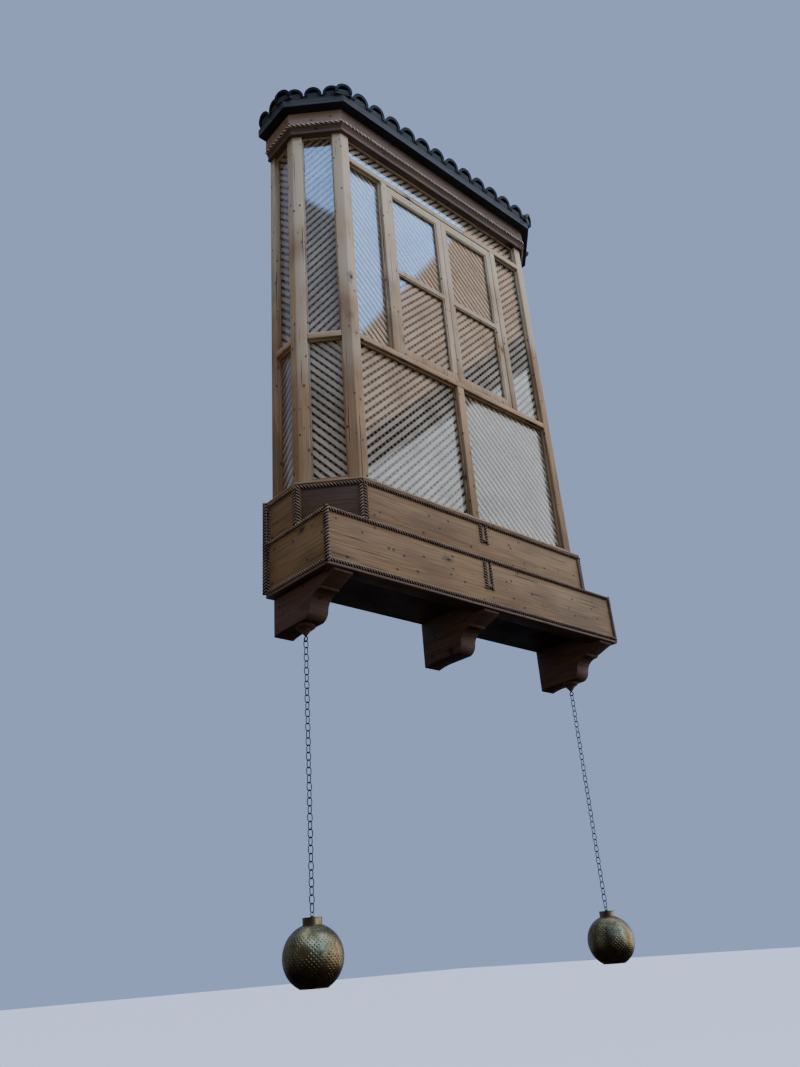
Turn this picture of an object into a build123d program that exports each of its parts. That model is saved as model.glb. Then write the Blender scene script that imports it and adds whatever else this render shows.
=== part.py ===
# An oriel mashrabiya: a glazed timber bay with canted corners that hangs on a wall.
# It stands on three carved brackets, has a slatted lattice behind every pane and a
# small tiled roof, and carries two brass lanterns on chains.
# X runs along the wall, Y into the wall and Z up. The origin is on the wall face,
# at the back of the centre bracket and level with the lower edge of the aprons.

import os
from math import acos, asin, atan2, cos, degrees, radians, sin, sqrt, tan

from build123d import *

os.makedirs("parts", exist_ok=True)

# Plan of the bay, measured to the outer face of its aprons
bay_half_width = 1080
bay_depth = 490
cant_run = 235

# Lower and upper aprons
apron_thickness = 28
lower_apron_height = 285
upper_apron_height = 215
ledge_thickness = 18
cap_thickness = 14
cap_overhang = 8
cap_width = 120

# Floor and the skirt boards under the aprons
floor_height = 50
floor_thickness = 30
skirt_thickness = 14
skirt_overhang = 8
front_skirt_width = 90
side_skirt_width = 46

# Rope mouldings
rope_radius = 13
corner_rope_radius = 16
tab_width = 44
upper_tab_drop = 104
lower_tab_drop = 160

# Window frame
frame_setback = 34
frame_thickness = 62
post_face = 58
wall_post_face = 45
bottom_rail_height = 34
lower_pane_height = 878
mid_rail_height = 38
sash_opening_height = 1327
transom_height = 39
strip_pane_height = 130
head_rail_height = 60
head_to_eave = 207
mullion_width = 46
mullion_spacing = 1000
lower_mullion_width = 54

# Casement sashes
sash_gap = 3
sash_setback = 4
sash_thickness = 46
sash_stile = 44
sash_top_rail = 60
sash_bottom_rail = 46
sash_bar = 34
sash_bar_height = 618

# Glass, beads and lattice
glass_thickness = 4
glass_recess = 32
sash_glass_recess = 18
bead_width = 8
bead_depth = 12
fit_gap = 0.2
seat_gap = 0.3
swing_gap = 0.6
slat_width = 22
slat_thickness = 7
slat_pitch = 54

# Fascia, eave and roof
fascia_height = 167
fascia_step = 12
fascia_lower_height = 54
fascia_bead_radius = 8
eave_overhang = 57
eave_thickness = 22
bed_edge_height = 40
roof_pitch = 18
tile_radius = 52
front_tile_pitch = 134
side_tile_pitch = 116
tile_overhang = 14

# Carved brackets
bracket_width = 112
bracket_inset = 95
bracket_drop = 205
bracket_reach = 484
nose_depth = 192
nose_reach = 290

# Turned drops under the outer brackets, with an iron eye in each
drop_radius = 46
drop_height = 48
drop_reach = 180
eye_radius = 12
eye_wire_radius = 2.2
eye_stem = 5

# Chains and lanterns
link_length = 20
link_inner_width = 9
link_wire = 4
left_links = 59
right_links = 60
globe_radius = 125
globe_wall = 1.5
globe_mouth_radius = 58
collar_radius = 40
collar_height = 28
collar_top_thickness = 2
loop_radius = 8
loop_wire_radius = 2
knob_radius = 9
knob_height = 6

# Places and heights that follow from the sizes above
bracket_spacing = bay_half_width - bracket_inset
apron_top = lower_apron_height + upper_apron_height
frame_bottom = apron_top + cap_thickness
lower_pane_bottom = frame_bottom + bottom_rail_height
mid_rail_bottom = lower_pane_bottom + lower_pane_height
upper_pane_bottom = mid_rail_bottom + mid_rail_height
transom_bottom = upper_pane_bottom + sash_opening_height
strip_bottom = transom_bottom + transom_height
head_bottom = strip_bottom + strip_pane_height
eave_bottom = head_bottom + head_to_eave
eave_top = eave_bottom + eave_thickness
bed_edge_top = eave_top + bed_edge_height
fascia_bottom = eave_bottom - fascia_height

# Rounds are drawn with few sides: small wires and ropes, tiles, and the globes
WIRE_SIDES = 8
ROPE_SIDES = 8
TILE_SIDES = 12
DROP_SIDES = 12
GLOBE_SIDES = 20
GLOBE_BANDS = 8

# Plan corners turn by 45 degrees, so a mitre moves by this share of an offset
mitre = tan(radians(22.5))
FACETS = ("side_left", "cant_left", "front", "cant_right", "side_right")
ALL_FACETS = range(len(FACETS))
FRONT = FACETS.index("front")
RIGHT_SIDE = FACETS.index("side_right")


def plan_line(offset):
    """Corners of the bay in plan, moved outwards by offset, from wall to wall."""
    side_x = bay_half_width + offset
    corner_y = -(bay_depth - cant_run) - offset * mitre
    front_x = bay_half_width - cant_run + offset * mitre
    front_y = -bay_depth - offset
    left = [(-side_x, 0), (-side_x, corner_y), (-front_x, front_y)]
    return left + [(-x, y) for x, y in reversed(left)]


def board_points(facet, inner, outer):
    """Plan corners of one facet's board, mitred with a small gap at the bay's corners."""
    out_a, out_b = [Vector(*p) for p in plan_line(outer)[facet:facet + 2]]
    in_a, in_b = [Vector(*p) for p in plan_line(inner)[facet:facet + 2]]
    along = (out_b - out_a).normalized() * (seat_gap / 2)
    start = along if facet > 0 else Vector(0, 0)
    end = along if facet < RIGHT_SIDE else Vector(0, 0)
    return [out_a + start, out_b - end, in_b - end, in_a + start]


def facet_plane(facet, offset):
    """Upright plane on a facet: X along it from the apron's middle, Y up, Z outwards."""
    a, b = [Vector(*p) for p in plan_line(0)[facet:facet + 2]]
    along = (b - a).normalized()
    outward = along.cross(Vector(0, 0, 1))
    return Plane((a + b) / 2 + outward * offset, x_dir=along, z_dir=outward)


def facet_ends(facet, offset):
    """Ends of a facet at an offset in plan, along the X of its facet plane."""
    plane = facet_plane(facet, offset)
    return [plane.to_local_coords(Vector(*p)).X for p in plan_line(offset)[facet:facet + 2]]


def facet_span(facet):
    """Ends of the clear opening between a facet's two posts."""
    start, end = facet_ends(facet, -frame_setback)
    left_post = wall_post_face if facet == 0 else post_face
    right_post = wall_post_face if facet == RIGHT_SIDE else post_face
    return start + left_post, end - right_post


def save(piece, label):
    """Label a finished piece and write its file."""
    piece.part.label = label
    export_step(piece.part, f"parts/{label}.step")


def mitred_boards(label, inner, outer, bottom, top):
    """One board on each facet, between two offsets in plan and two heights."""
    with BuildPart() as boards:
        for facet in ALL_FACETS:
            with BuildSketch(Plane.XY.offset(bottom)):
                with BuildLine():
                    Polyline(*board_points(facet, inner, outer), close=True)
                make_face()
        extrude(amount=top - bottom)
    save(boards, label)


def block(label, x_range, y_range, z_range):
    """One squared board between three ranges."""
    with BuildPart() as board:
        with Locations(tuple(sum(ends) / 2 for ends in (x_range, y_range, z_range))):
            Box(*[ends[1] - ends[0] for ends in (x_range, y_range, z_range)])
    save(board, label)


# Aprons and floor: the upper apron follows the cants, the lower one is square
mitred_boards("upper_apron", -apron_thickness, 0, lower_apron_height, apron_top)

floor_half_width = bay_half_width - apron_thickness
with BuildPart() as lower_apron:
    with Locations((0, -bay_depth + apron_thickness / 2, lower_apron_height / 2)):
        Box(2 * bay_half_width, apron_thickness, lower_apron_height)
    side_board_length = bay_depth - apron_thickness - seat_gap
    for side in (-1, 1):
        side_board_x = side * (bay_half_width - apron_thickness / 2)
        with Locations((side_board_x, -side_board_length / 2, lower_apron_height / 2)):
            Box(apron_thickness, side_board_length, lower_apron_height)
save(lower_apron, "lower_apron")

block(
    "floor_board",
    (-floor_half_width, floor_half_width),
    (-bay_depth + apron_thickness, 0),
    (floor_height, floor_height + floor_thickness),
)

# The ledges close the corners between the square lower tier and the canted upper one
with BuildPart() as corner_ledges:
    ledge_corner = (-bay_half_width + apron_thickness, -bay_depth + apron_thickness)
    canted = [Vector(*p) for p in plan_line(-apron_thickness - seat_gap)]
    with BuildSketch(Plane.XY.offset(lower_apron_height - ledge_thickness)):
        with BuildLine():
            Polyline(
                ledge_corner,
                (ledge_corner[0], canted[1].Y),
                (canted[2].X, ledge_corner[1]),
                close=True,
            )
        make_face()
    extrude(amount=ledge_thickness)
    mirror(about=Plane.YZ)
save(corner_ledges, "corner_ledges")

# Skirt boards under the aprons, mitred at the square corners
with BuildPart() as skirt_boards:
    skirt_x = bay_half_width + skirt_overhang
    skirt_y = -bay_depth - skirt_overhang
    side_inner_x = skirt_x - side_skirt_width
    front_inner_y = skirt_y + front_skirt_width
    with BuildSketch(Plane.XY.offset(-skirt_thickness)):
        with BuildLine():
            Polyline(
                (-skirt_x + seat_gap, skirt_y),
                (skirt_x - seat_gap, skirt_y),
                (side_inner_x - seat_gap, front_inner_y),
                (-side_inner_x + seat_gap, front_inner_y),
                close=True,
            )
        make_face()
        with BuildLine():
            Polyline(
                (-skirt_x, 0),
                (-skirt_x, skirt_y),
                (-side_inner_x, front_inner_y),
                (-side_inner_x, 0),
                close=True,
            )
        make_face()
        with BuildLine():
            Polyline(
                (skirt_x, 0),
                (skirt_x, skirt_y),
                (side_inner_x, front_inner_y),
                (side_inner_x, 0),
                close=True,
            )
        make_face()
    extrude(amount=skirt_thickness)
save(skirt_boards, "skirt_boards")

mitred_boards("sill_cap", cap_overhang - cap_width, cap_overhang, apron_top, frame_bottom)

# Window frame: six posts, then rails and mullions between them
post_height = eave_bottom - frame_bottom
for corner, label in (
    (1, "corner_post_left"),
    (2, "front_post_left"),
    (3, "front_post_right"),
    (4, "corner_post_right"),
):
    outer_line = [Vector(*p) for p in plan_line(-frame_setback)]
    inner_line = [Vector(*p) for p in plan_line(-frame_setback - frame_thickness)]
    before = (outer_line[corner - 1] - outer_line[corner]).normalized()
    after = (outer_line[corner + 1] - outer_line[corner]).normalized()
    inward_before = Vector(0, 0, 1).cross(before) * -frame_thickness
    inward_after = Vector(0, 0, 1).cross(after) * frame_thickness
    with BuildPart() as post:
        with BuildSketch(Plane.XY.offset(frame_bottom)):
            with BuildLine():
                Polyline(
                    outer_line[corner],
                    outer_line[corner] + before * post_face,
                    outer_line[corner] + before * post_face + inward_before,
                    inner_line[corner],
                    outer_line[corner] + after * post_face + inward_after,
                    outer_line[corner] + after * post_face,
                    close=True,
                )
            make_face()
        extrude(amount=post_height)
    save(post, label)

with BuildPart() as wall_posts:
    for side in (-1, 1):
        wall_post_x = side * (bay_half_width - frame_setback - frame_thickness / 2)
        with Locations((wall_post_x, -wall_post_face / 2, frame_bottom + post_height / 2)):
            Box(frame_thickness, wall_post_face, post_height)
save(wall_posts, "wall_posts")

for label, bottom, height in (
    ("bottom_rails", frame_bottom, bottom_rail_height),
    ("mid_rails", mid_rail_bottom, mid_rail_height),
    ("head_rails", head_bottom, head_rail_height),
):
    with BuildPart() as rails:
        for facet in ALL_FACETS:
            start, end = facet_span(facet)
            with BuildSketch(facet_plane(facet, -frame_setback)):
                with Locations(((start + end) / 2, bottom + height / 2)):
                    Rectangle(end - start, height)
        extrude(amount=-frame_thickness)
    save(rails, label)

front_start, front_end = facet_span(FRONT)
frame_face_y = -bay_depth + frame_setback
frame_back_y = frame_face_y + frame_thickness
block(
    "transom_rail",
    (front_start, front_end),
    (frame_face_y, frame_back_y),
    (transom_bottom, strip_bottom),
)
with BuildPart() as mullions:
    with BuildSketch(facet_plane(FRONT, -frame_setback)):
        with Locations((0, (lower_pane_bottom + mid_rail_bottom) / 2)):
            Rectangle(lower_mullion_width, lower_pane_height)
        with Locations((0, (upper_pane_bottom + transom_bottom) / 2)):
            with GridLocations(mullion_spacing, 1, 2, 1):
                Rectangle(mullion_width, transom_bottom - upper_pane_bottom)
    extrude(amount=-frame_thickness)
save(mullions, "mullions")

# Casement sashes: each hangs on its mullion and has two panes, one above the other
sash_opening_half = (mullion_spacing - mullion_width) / 2
sash_width = sash_opening_half - sash_gap / 2 - seat_gap
sash_height = sash_opening_height - 2 * sash_gap
sash_bottom = upper_pane_bottom + sash_gap
sash_pane_width = sash_width - 2 * sash_stile
lower_sash_pane = (sash_bottom + sash_bottom_rail, sash_bottom + sash_bar_height)
upper_sash_pane = (
    sash_bottom + sash_bar_height + sash_bar,
    sash_bottom + sash_height - sash_top_rail,
)
sash_offset = -frame_setback - sash_setback
for side, label in ((-1, "casement_sash_left"), (1, "casement_sash_right")):
    sash_x = side * (sash_width + sash_gap) / 2
    with BuildPart() as sash:
        with BuildSketch(facet_plane(FRONT, sash_offset)):
            with Locations((sash_x, sash_bottom + sash_height / 2)):
                Rectangle(sash_width, sash_height)
            for low, high in (lower_sash_pane, upper_sash_pane):
                with Locations((sash_x, (low + high) / 2)):
                    Rectangle(sash_pane_width, high - low, mode=Mode.SUBTRACT)
        extrude(amount=-sash_thickness)
    save(sash, label)


# Panes: facet, left and right edges, bottom and top, lean of the front slats and
# whether the pane is in a sash
def pane_list():
    panes = []
    upper_lean = {0: -1, 1: 1, 3: -1, 4: 1}
    for facet in ALL_FACETS:
        start, end = facet_span(facet)
        if facet != FRONT:
            lean = upper_lean[facet]
            panes.append((facet, start, end, lower_pane_bottom, mid_rail_bottom, -lean, False))
            panes.append((facet, start, end, upper_pane_bottom, head_bottom, lean, False))
            continue
        mullion_inner = lower_mullion_width / 2
        light_inner = (mullion_spacing + mullion_width) / 2
        low, high = lower_pane_bottom, mid_rail_bottom
        panes.append((facet, start, -mullion_inner, low, high, 1, False))
        panes.append((facet, mullion_inner, end, low, high, -1, False))
        low, high = upper_pane_bottom, transom_bottom
        panes.append((facet, start, -light_inner, low, high, -1, False))
        panes.append((facet, light_inner, end, low, high, 1, False))
        panes.append((facet, start, end, strip_bottom, head_bottom, 1, False))
        for side in (-1, 1):
            sash_x = side * (sash_width + sash_gap) / 2
            left, right = sash_x - sash_pane_width / 2, sash_x + sash_pane_width / 2
            panes.append((facet, left, right, *lower_sash_pane, 1, True))
            panes.append((facet, left, right, *upper_sash_pane, -1, True))
    return panes


PANES = pane_list()


def glass_offset(in_sash):
    """Offset in plan of a pane's outer glass face."""
    return sash_offset - sash_glass_recess if in_sash else -frame_setback - glass_recess


for label, facets in (("glass_left", (0, 1)), ("glass_front", (2,)), ("glass_right", (3, 4))):
    with BuildPart() as glass:
        for facet, left, right, low, high, lean, in_sash in PANES:
            if facet not in facets:
                continue
            with BuildSketch(facet_plane(facet, glass_offset(in_sash))):
                with Locations(((left + right) / 2, (low + high) / 2)):
                    Rectangle(right - left - 2 * fit_gap, high - low - 2 * fit_gap)
        extrude(amount=-glass_thickness)
    save(glass, label)

with BuildPart() as glazing_beads:
    for facet, left, right, low, high, lean, in_sash in PANES:
        width = right - left - 2 * fit_gap
        height = high - low - 2 * fit_gap
        with BuildSketch(facet_plane(facet, glass_offset(in_sash))):
            with Locations(((left + right) / 2, (low + high) / 2)):
                Rectangle(width, height)
                Rectangle(width - 2 * bead_width, height - 2 * bead_width, mode=Mode.SUBTRACT)
    extrude(amount=bead_depth)
save(glazing_beads, "glazing_beads")


# Lattice: flat slats at 45 degrees, cut to the pane and set behind its glass
def slat_centres(width, height, lean):
    """Middles of the slats that cross a pane, from the pane's middle."""
    count = round((width + height) / slat_pitch)
    step = (width + height) / count
    return [((step * (n + 0.5) - (width + height) / 2) / 2, lean) for n in range(count)]


def lattice(label, panes):
    """The front slats of the given panes."""
    with BuildPart() as slats:
        for facet, left, right, low, high, lean, in_sash in panes:
            width = right - left - 2 * fit_gap
            height = high - low - 2 * fit_gap
            middle = ((left + right) / 2, (low + high) / 2)
            behind_glass = glass_offset(in_sash) - glass_thickness - seat_gap
            with BuildSketch(facet_plane(facet, behind_glass)):
                centres = [
                    (middle[0] + shift, middle[1] - side * shift)
                    for shift, side in slat_centres(width, height, lean)
                ]
                with Locations(*centres):
                    Rectangle(2 * (width + height), slat_width, rotation=45 * lean)
                with Locations(middle):
                    Rectangle(width, height, mode=Mode.INTERSECT)
        extrude(amount=-slat_thickness)
    save(slats, label)


front_panes = [pane for pane in PANES if pane[0] == FRONT]
lattice("lattice_side_left", [pane for pane in PANES if pane[0] == 0])
lattice("lattice_cant_left", [pane for pane in PANES if pane[0] == 1])
lattice("lattice_lower_front", front_panes[:2])
lattice("lattice_fixed_lights", front_panes[2:5])
lattice("lattice_sashes", front_panes[5:])
lattice("lattice_cant_right", [pane for pane in PANES if pane[0] == 3])
lattice("lattice_side_right", [pane for pane in PANES if pane[0] == 4])

# Fascia boards with a stepped lower edge, and the bead on their face
with BuildPart() as fascia:
    step_height = fascia_bottom + fascia_lower_height
    for facet in ALL_FACETS:
        with BuildSketch(Plane.XY.offset(step_height)):
            with BuildLine():
                Polyline(*board_points(facet, -frame_setback, 0), close=True)
            make_face()
    extrude(amount=eave_bottom - step_height)
    for facet in ALL_FACETS:
        with BuildSketch(Plane.XY.offset(fascia_bottom)):
            with BuildLine():
                Polyline(*board_points(facet, -frame_setback, -fascia_step), close=True)
            make_face()
    extrude(amount=fascia_lower_height)
save(fascia, "fascia")


def half_round(label, radius, runs, corners=(), outline=(), height=0):
    """Half-round runs, each a plane and two points on it, with round ropes up plan corners."""
    with BuildPart() as bead:
        for plane, start, end in runs:
            start_point = plane.from_local_coords(Vector(*start))
            end_point = plane.from_local_coords(Vector(*end))
            along = (end_point - start_point).normalized()
            section = Plane(start_point, x_dir=plane.z_dir.cross(along), z_dir=along)
            with BuildSketch(section):
                RegularPolygon(radius, ROPE_SIDES)
                with Locations((0, -radius)):
                    Rectangle(2 * radius, 2 * radius, mode=Mode.SUBTRACT)
            extrude(amount=(end_point - start_point).length)
        for corner in corners:
            with BuildSketch(Plane.XY):
                with Locations(corner):
                    RegularPolygon(corner_rope_radius, ROPE_SIDES)
                with BuildLine():
                    Polyline(*outline, close=True)
                make_face(mode=Mode.SUBTRACT)
            extrude(amount=height)
    save(bead, label)


bead_height = step_height + fascia_bead_radius
bead_runs = []
for facet in ALL_FACETS:
    start, end = facet_ends(facet, 0)
    run = ((start + seat_gap, bead_height), (end - seat_gap, bead_height))
    bead_runs.append((facet_plane(facet, 0), *run))
half_round("fascia_bead", fascia_bead_radius, bead_runs)

# Rope mouldings, here as plain rounds. The upper tier has one along its top and one up
# both ends of each board, so that its corners have pairs. The lower tier has one round
# its edges and one up each square corner. Each has a drop of two with a closed foot.
corner_stop = corner_rope_radius + seat_gap
wall_stop = rope_radius + seat_gap


def middle_drop(plane, top, length):
    """The two uprights and the foot of a tier's middle drop."""
    low = top - length
    foot_end = tab_width / 2 - rope_radius - seat_gap
    foot = ((-foot_end, low + rope_radius), (foot_end, low + rope_radius))
    uprights = [(plane, (x, low), (x, top)) for x in (-tab_width / 2, tab_width / 2)]
    return uprights + [(plane, *foot)]


upper_rope_height = apron_top - rope_radius
under_upper_rope = upper_rope_height - rope_radius - seat_gap
upper_runs = middle_drop(facet_plane(FRONT, 0), under_upper_rope, upper_tab_drop)
for facet in ALL_FACETS:
    plane = facet_plane(facet, 0)
    start, end = facet_ends(facet, 0)
    run = ((start + seat_gap, upper_rope_height), (end - seat_gap, upper_rope_height))
    upper_runs.append((plane, *run))
    for x in (start + wall_stop, end - wall_stop):
        upper_runs.append((plane, (x, lower_apron_height), (x, under_upper_rope)))
half_round("rope_upper", rope_radius, upper_runs)

left_plane = Plane((-bay_half_width, 0, 0), x_dir=(0, -1, 0), z_dir=(-1, 0, 0))
front_plane = Plane((0, -bay_depth, 0), x_dir=(1, 0, 0), z_dir=(0, -1, 0))
right_plane = Plane((bay_half_width, 0, 0), x_dir=(0, 1, 0), z_dir=(1, 0, 0))
lower_ropes = (rope_radius, lower_apron_height - rope_radius)
between_ropes = (lower_ropes[0] + wall_stop, lower_ropes[1] - wall_stop)
lower_runs = middle_drop(front_plane, between_ropes[1], lower_tab_drop)
for plane, start, end in (
    (left_plane, seat_gap, bay_depth - corner_stop),
    (front_plane, -bay_half_width + corner_stop, bay_half_width - corner_stop),
    (right_plane, corner_stop - bay_depth, -seat_gap),
):
    for height in lower_ropes:
        lower_runs.append((plane, (start, height), (end, height)))
for plane, x in ((left_plane, wall_stop), (right_plane, -wall_stop)):
    lower_runs.append((plane, (x, between_ropes[0]), (x, between_ropes[1])))
corners = [(-bay_half_width, -bay_depth), (bay_half_width, -bay_depth)]
outline = [(-bay_half_width, 0), *corners, (bay_half_width, 0)]
half_round("rope_lower", rope_radius, lower_runs, corners, outline, lower_apron_height)

# Eave board: one canted board that closes the bay and carries the roof
with BuildPart() as eave_board:
    with BuildSketch(Plane.XY.offset(eave_bottom)):
        with BuildLine():
            Polyline(*plan_line(eave_overhang), close=True)
        make_face()
    extrude(amount=eave_thickness)
save(eave_board, "eave_board")

# Roof bed: a hipped slope that rises from every eave to the wall
slope = radians(roof_pitch)
roof_rise = (bay_depth + eave_overhang) * tan(slope)
with BuildPart() as roof_bed:
    with BuildSketch(Plane.XY.offset(eave_top)):
        with BuildLine():
            Polyline(*plan_line(eave_overhang), close=True)
        make_face()
    extrude(amount=bed_edge_height + roof_rise)
    for facet in ALL_FACETS:
        eave = facet_plane(facet, eave_overhang)
        slope_normal = eave.z_dir * sin(slope) + Vector(0, 0, 1) * cos(slope)
        edge_point = eave.origin + Vector(0, 0, bed_edge_top)
        split(bisect_by=Plane(edge_point, z_dir=slope_normal), keep=Keep.BOTTOM)
save(roof_bed, "roof_bed")


def tile_runs(facet):
    """Places along a facet's eave and the length in plan of the tile run at each."""
    start, end = facet_ends(facet, eave_overhang)
    pitch = front_tile_pitch if facet == FRONT else side_tile_pitch
    count = round((end - start) / pitch - 0.5)
    step = min(pitch, (end - start - pitch) / (count - 1))
    runs = []
    for n in range(count):
        x = (start + end) / 2 + step * (n - (count - 1) / 2)
        reach = bay_depth + eave_overhang
        if facet > 0:
            reach = min(reach, (x - start) / mitre)
        if facet < RIGHT_SIDE:
            reach = min(reach, (end - x) / mitre)
        runs.append((x, reach))
    return runs


# Cover tiles: half-round rows from each eave up to its hip, and one row on each hip
with BuildPart() as cover_tiles:
    for facet in ALL_FACETS:
        eave = facet_plane(facet, eave_overhang)
        uphill = -eave.z_dir * cos(slope) + Vector(0, 0, 1) * sin(slope)
        for x, reach in tile_runs(facet):
            foot = eave.from_local_coords(Vector(x, bed_edge_top, 0)) - uphill * tile_overhang
            with BuildSketch(Plane(foot, x_dir=eave.x_dir, z_dir=uphill)):
                RegularPolygon(tile_radius, TILE_SIDES)
            extrude(amount=reach / cos(slope) + tile_overhang)
    for corner in range(1, len(FACETS)):
        foot = Vector(*plan_line(eave_overhang)[corner], bed_edge_top)
        inner = Vector(*plan_line(-bay_depth / 2)[corner], bed_edge_top)
        hip = inner - foot
        hip_rise = tan(slope) * (bay_depth / 2 + eave_overhang)
        uphill = (hip + Vector(0, 0, hip_rise)).normalized()
        with BuildSketch(Plane(foot - uphill * tile_overhang, x_dir=hip.cross(uphill), z_dir=uphill)):
            RegularPolygon(tile_radius, TILE_SIDES)
        extrude(amount=(hip + Vector(0, 0, hip_rise)).length + tile_overhang)
    add(roof_bed.part, mode=Mode.SUBTRACT)
    split(bisect_by=Plane.XY.offset(bed_edge_top - tile_radius / 3), keep=Keep.TOP)
    split(bisect_by=Plane.XZ, keep=Keep.TOP)
save(cover_tiles, "cover_tiles")

# Carved brackets: two coves over a rounded nose, as one profile
bracket_top = floor_height
under_skirt = -skirt_thickness
notch_reach = -bay_depth - skirt_overhang + front_skirt_width + seat_gap
for x, label in (
    (-bracket_spacing, "bracket_left"),
    (0, "bracket_centre"),
    (bracket_spacing, "bracket_right"),
):
    with BuildPart() as bracket:
        with BuildSketch(Plane.YZ.offset(x)):
            with BuildLine():
                Polyline(
                    (0, -bracket_drop),
                    (0, bracket_top),
                    (notch_reach, bracket_top),
                    (notch_reach, under_skirt),
                    (-bracket_reach, under_skirt),
                    (-bracket_reach, under_skirt - 14),
                )
                ThreePointArc(
                    (-bracket_reach, under_skirt - 14),
                    (-bracket_reach + 58, under_skirt - 34),
                    (-bracket_reach + 106, under_skirt - 52),
                )
                Line(
                    (-bracket_reach + 106, under_skirt - 52),
                    (-bracket_reach + 112, under_skirt - 64),
                )
                ThreePointArc(
                    (-bracket_reach + 112, under_skirt - 64),
                    (-bracket_reach + 166, under_skirt - 78),
                    (-nose_reach, under_skirt - 124),
                )
                ThreePointArc(
                    (-nose_reach, under_skirt - 124),
                    (-nose_reach + 12, under_skirt - 158),
                    (-nose_reach + 46, -nose_depth),
                )
                Line((-nose_reach + 46, -nose_depth), (-110, -nose_depth))
                ThreePointArc((-110, -nose_depth), (-52, -nose_depth - 3), (0, -bracket_drop))
            make_face()
        extrude(amount=bracket_width / 2, both=True)
    save(bracket, label)

def stacked(profile, x, y, sides):
    """A closed form of few flat sides through heights and radii, for use outside any block."""
    bands = []
    for ends in zip(profile, profile[1:]):
        (foot, wide), (head, narrow) = sorted(ends, key=lambda end: end[1], reverse=True)
        rise = abs(head - foot)
        with BuildPart() as band:
            with BuildSketch():
                RegularPolygon(wide, sides, major_radius=False)
            extrude(amount=rise, taper=degrees(atan2(wide - narrow, rise)))
        turned_over = 0 if head > foot else 180
        bands.append(Location((x, y, foot), (turned_over, 0, 0)) * band.part)
    with BuildPart() as form:
        add(bands)
    return form.part


# Turned drops under the noses of the outer brackets
drop_tip = -nose_depth - drop_height
drop_profile = (
    (-nose_depth, drop_radius),
    (-nose_depth - drop_height * 0.2, drop_radius),
    (-nose_depth - drop_height * 0.5, drop_radius * 0.55),
    (drop_tip, drop_radius * 0.15),
)
drops = [stacked(drop_profile, side * bracket_spacing, -drop_reach, DROP_SIDES) for side in (-1, 1)]
with BuildPart() as bracket_drops:
    add(drops)
save(bracket_drops, "bracket_drops")


def wire_ring(plane, radius, wire_radius):
    """A ring of square wire in a plane, to be used inside a BuildPart block."""
    turn = 180 / WIRE_SIDES
    with BuildSketch(plane) as outline:
        RegularPolygon(radius + wire_radius, WIRE_SIDES, major_radius=False, rotation=turn)
        inner_radius = radius - wire_radius
        RegularPolygon(inner_radius, WIRE_SIDES, major_radius=False, rotation=turn, mode=Mode.SUBTRACT)
    return extrude(outline.sketch, amount=wire_radius, both=True, mode=Mode.PRIVATE)


# Iron eyes below the drops: a stem and a ring across the bay
eye_height = drop_tip - eye_stem - eye_radius
pivot_height = eye_height - eye_radius
eye_rings = []
for side in (-1, 1):
    ring_plane = Plane((side * bracket_spacing, -drop_reach, eye_height), x_dir=(0, 1, 0), z_dir=(1, 0, 0))
    eye_rings.append(wire_ring(ring_plane, eye_radius, eye_wire_radius))
with BuildPart() as hook_eyes:
    add(eye_rings)
    stem_length = eye_stem + eye_wire_radius / 2
    for side in (-1, 1):
        with Locations((side * bracket_spacing, -drop_reach, drop_tip - stem_length / 2)):
            Box(2 * eye_wire_radius, 2 * eye_wire_radius, stem_length)
save(hook_eyes, "hook_eyes")

# Chain: flat-sided links, each turned a quarter from the one above
link_step = link_length - seat_gap
first_link_height = pivot_height + eye_wire_radius + swing_gap - link_length / 2


def chain(label, side, links):
    """A hanging chain of separate links."""
    with BuildPart() as links_part:
        for n in range(links):
            x_dir = (1, 0, 0) if n % 2 == 0 else (0, 1, 0)
            z_dir = Vector(*x_dir).cross(Vector(0, 0, 1))
            centre = (side * bracket_spacing, -drop_reach, first_link_height - n * link_step)
            with BuildSketch(Plane(centre, x_dir=x_dir, z_dir=z_dir)):
                for grow, mode in ((link_wire, Mode.ADD), (0, Mode.SUBTRACT)):
                    half_width = link_inner_width / 2 + grow
                    half_length = link_length / 2 + grow
                    Rectangle(2 * half_width, 2 * half_length, mode=mode)
        extrude(amount=link_wire / 2, both=True)
    save(links_part, label)


chain("chain_left", -1, left_links)
chain("chain_right", 1, right_links)


def globe_profile(radius, top_radius, bottom_height):
    """Heights and radii up a globe, from its mouth to the foot of its collar."""
    low = asin(bottom_height / radius)
    high = acos(top_radius / radius)
    turns = [low + (high - low) * n / GLOBE_BANDS for n in range(GLOBE_BANDS + 1)]
    return [(radius * sin(turn), radius * cos(turn)) for turn in turns]


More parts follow.
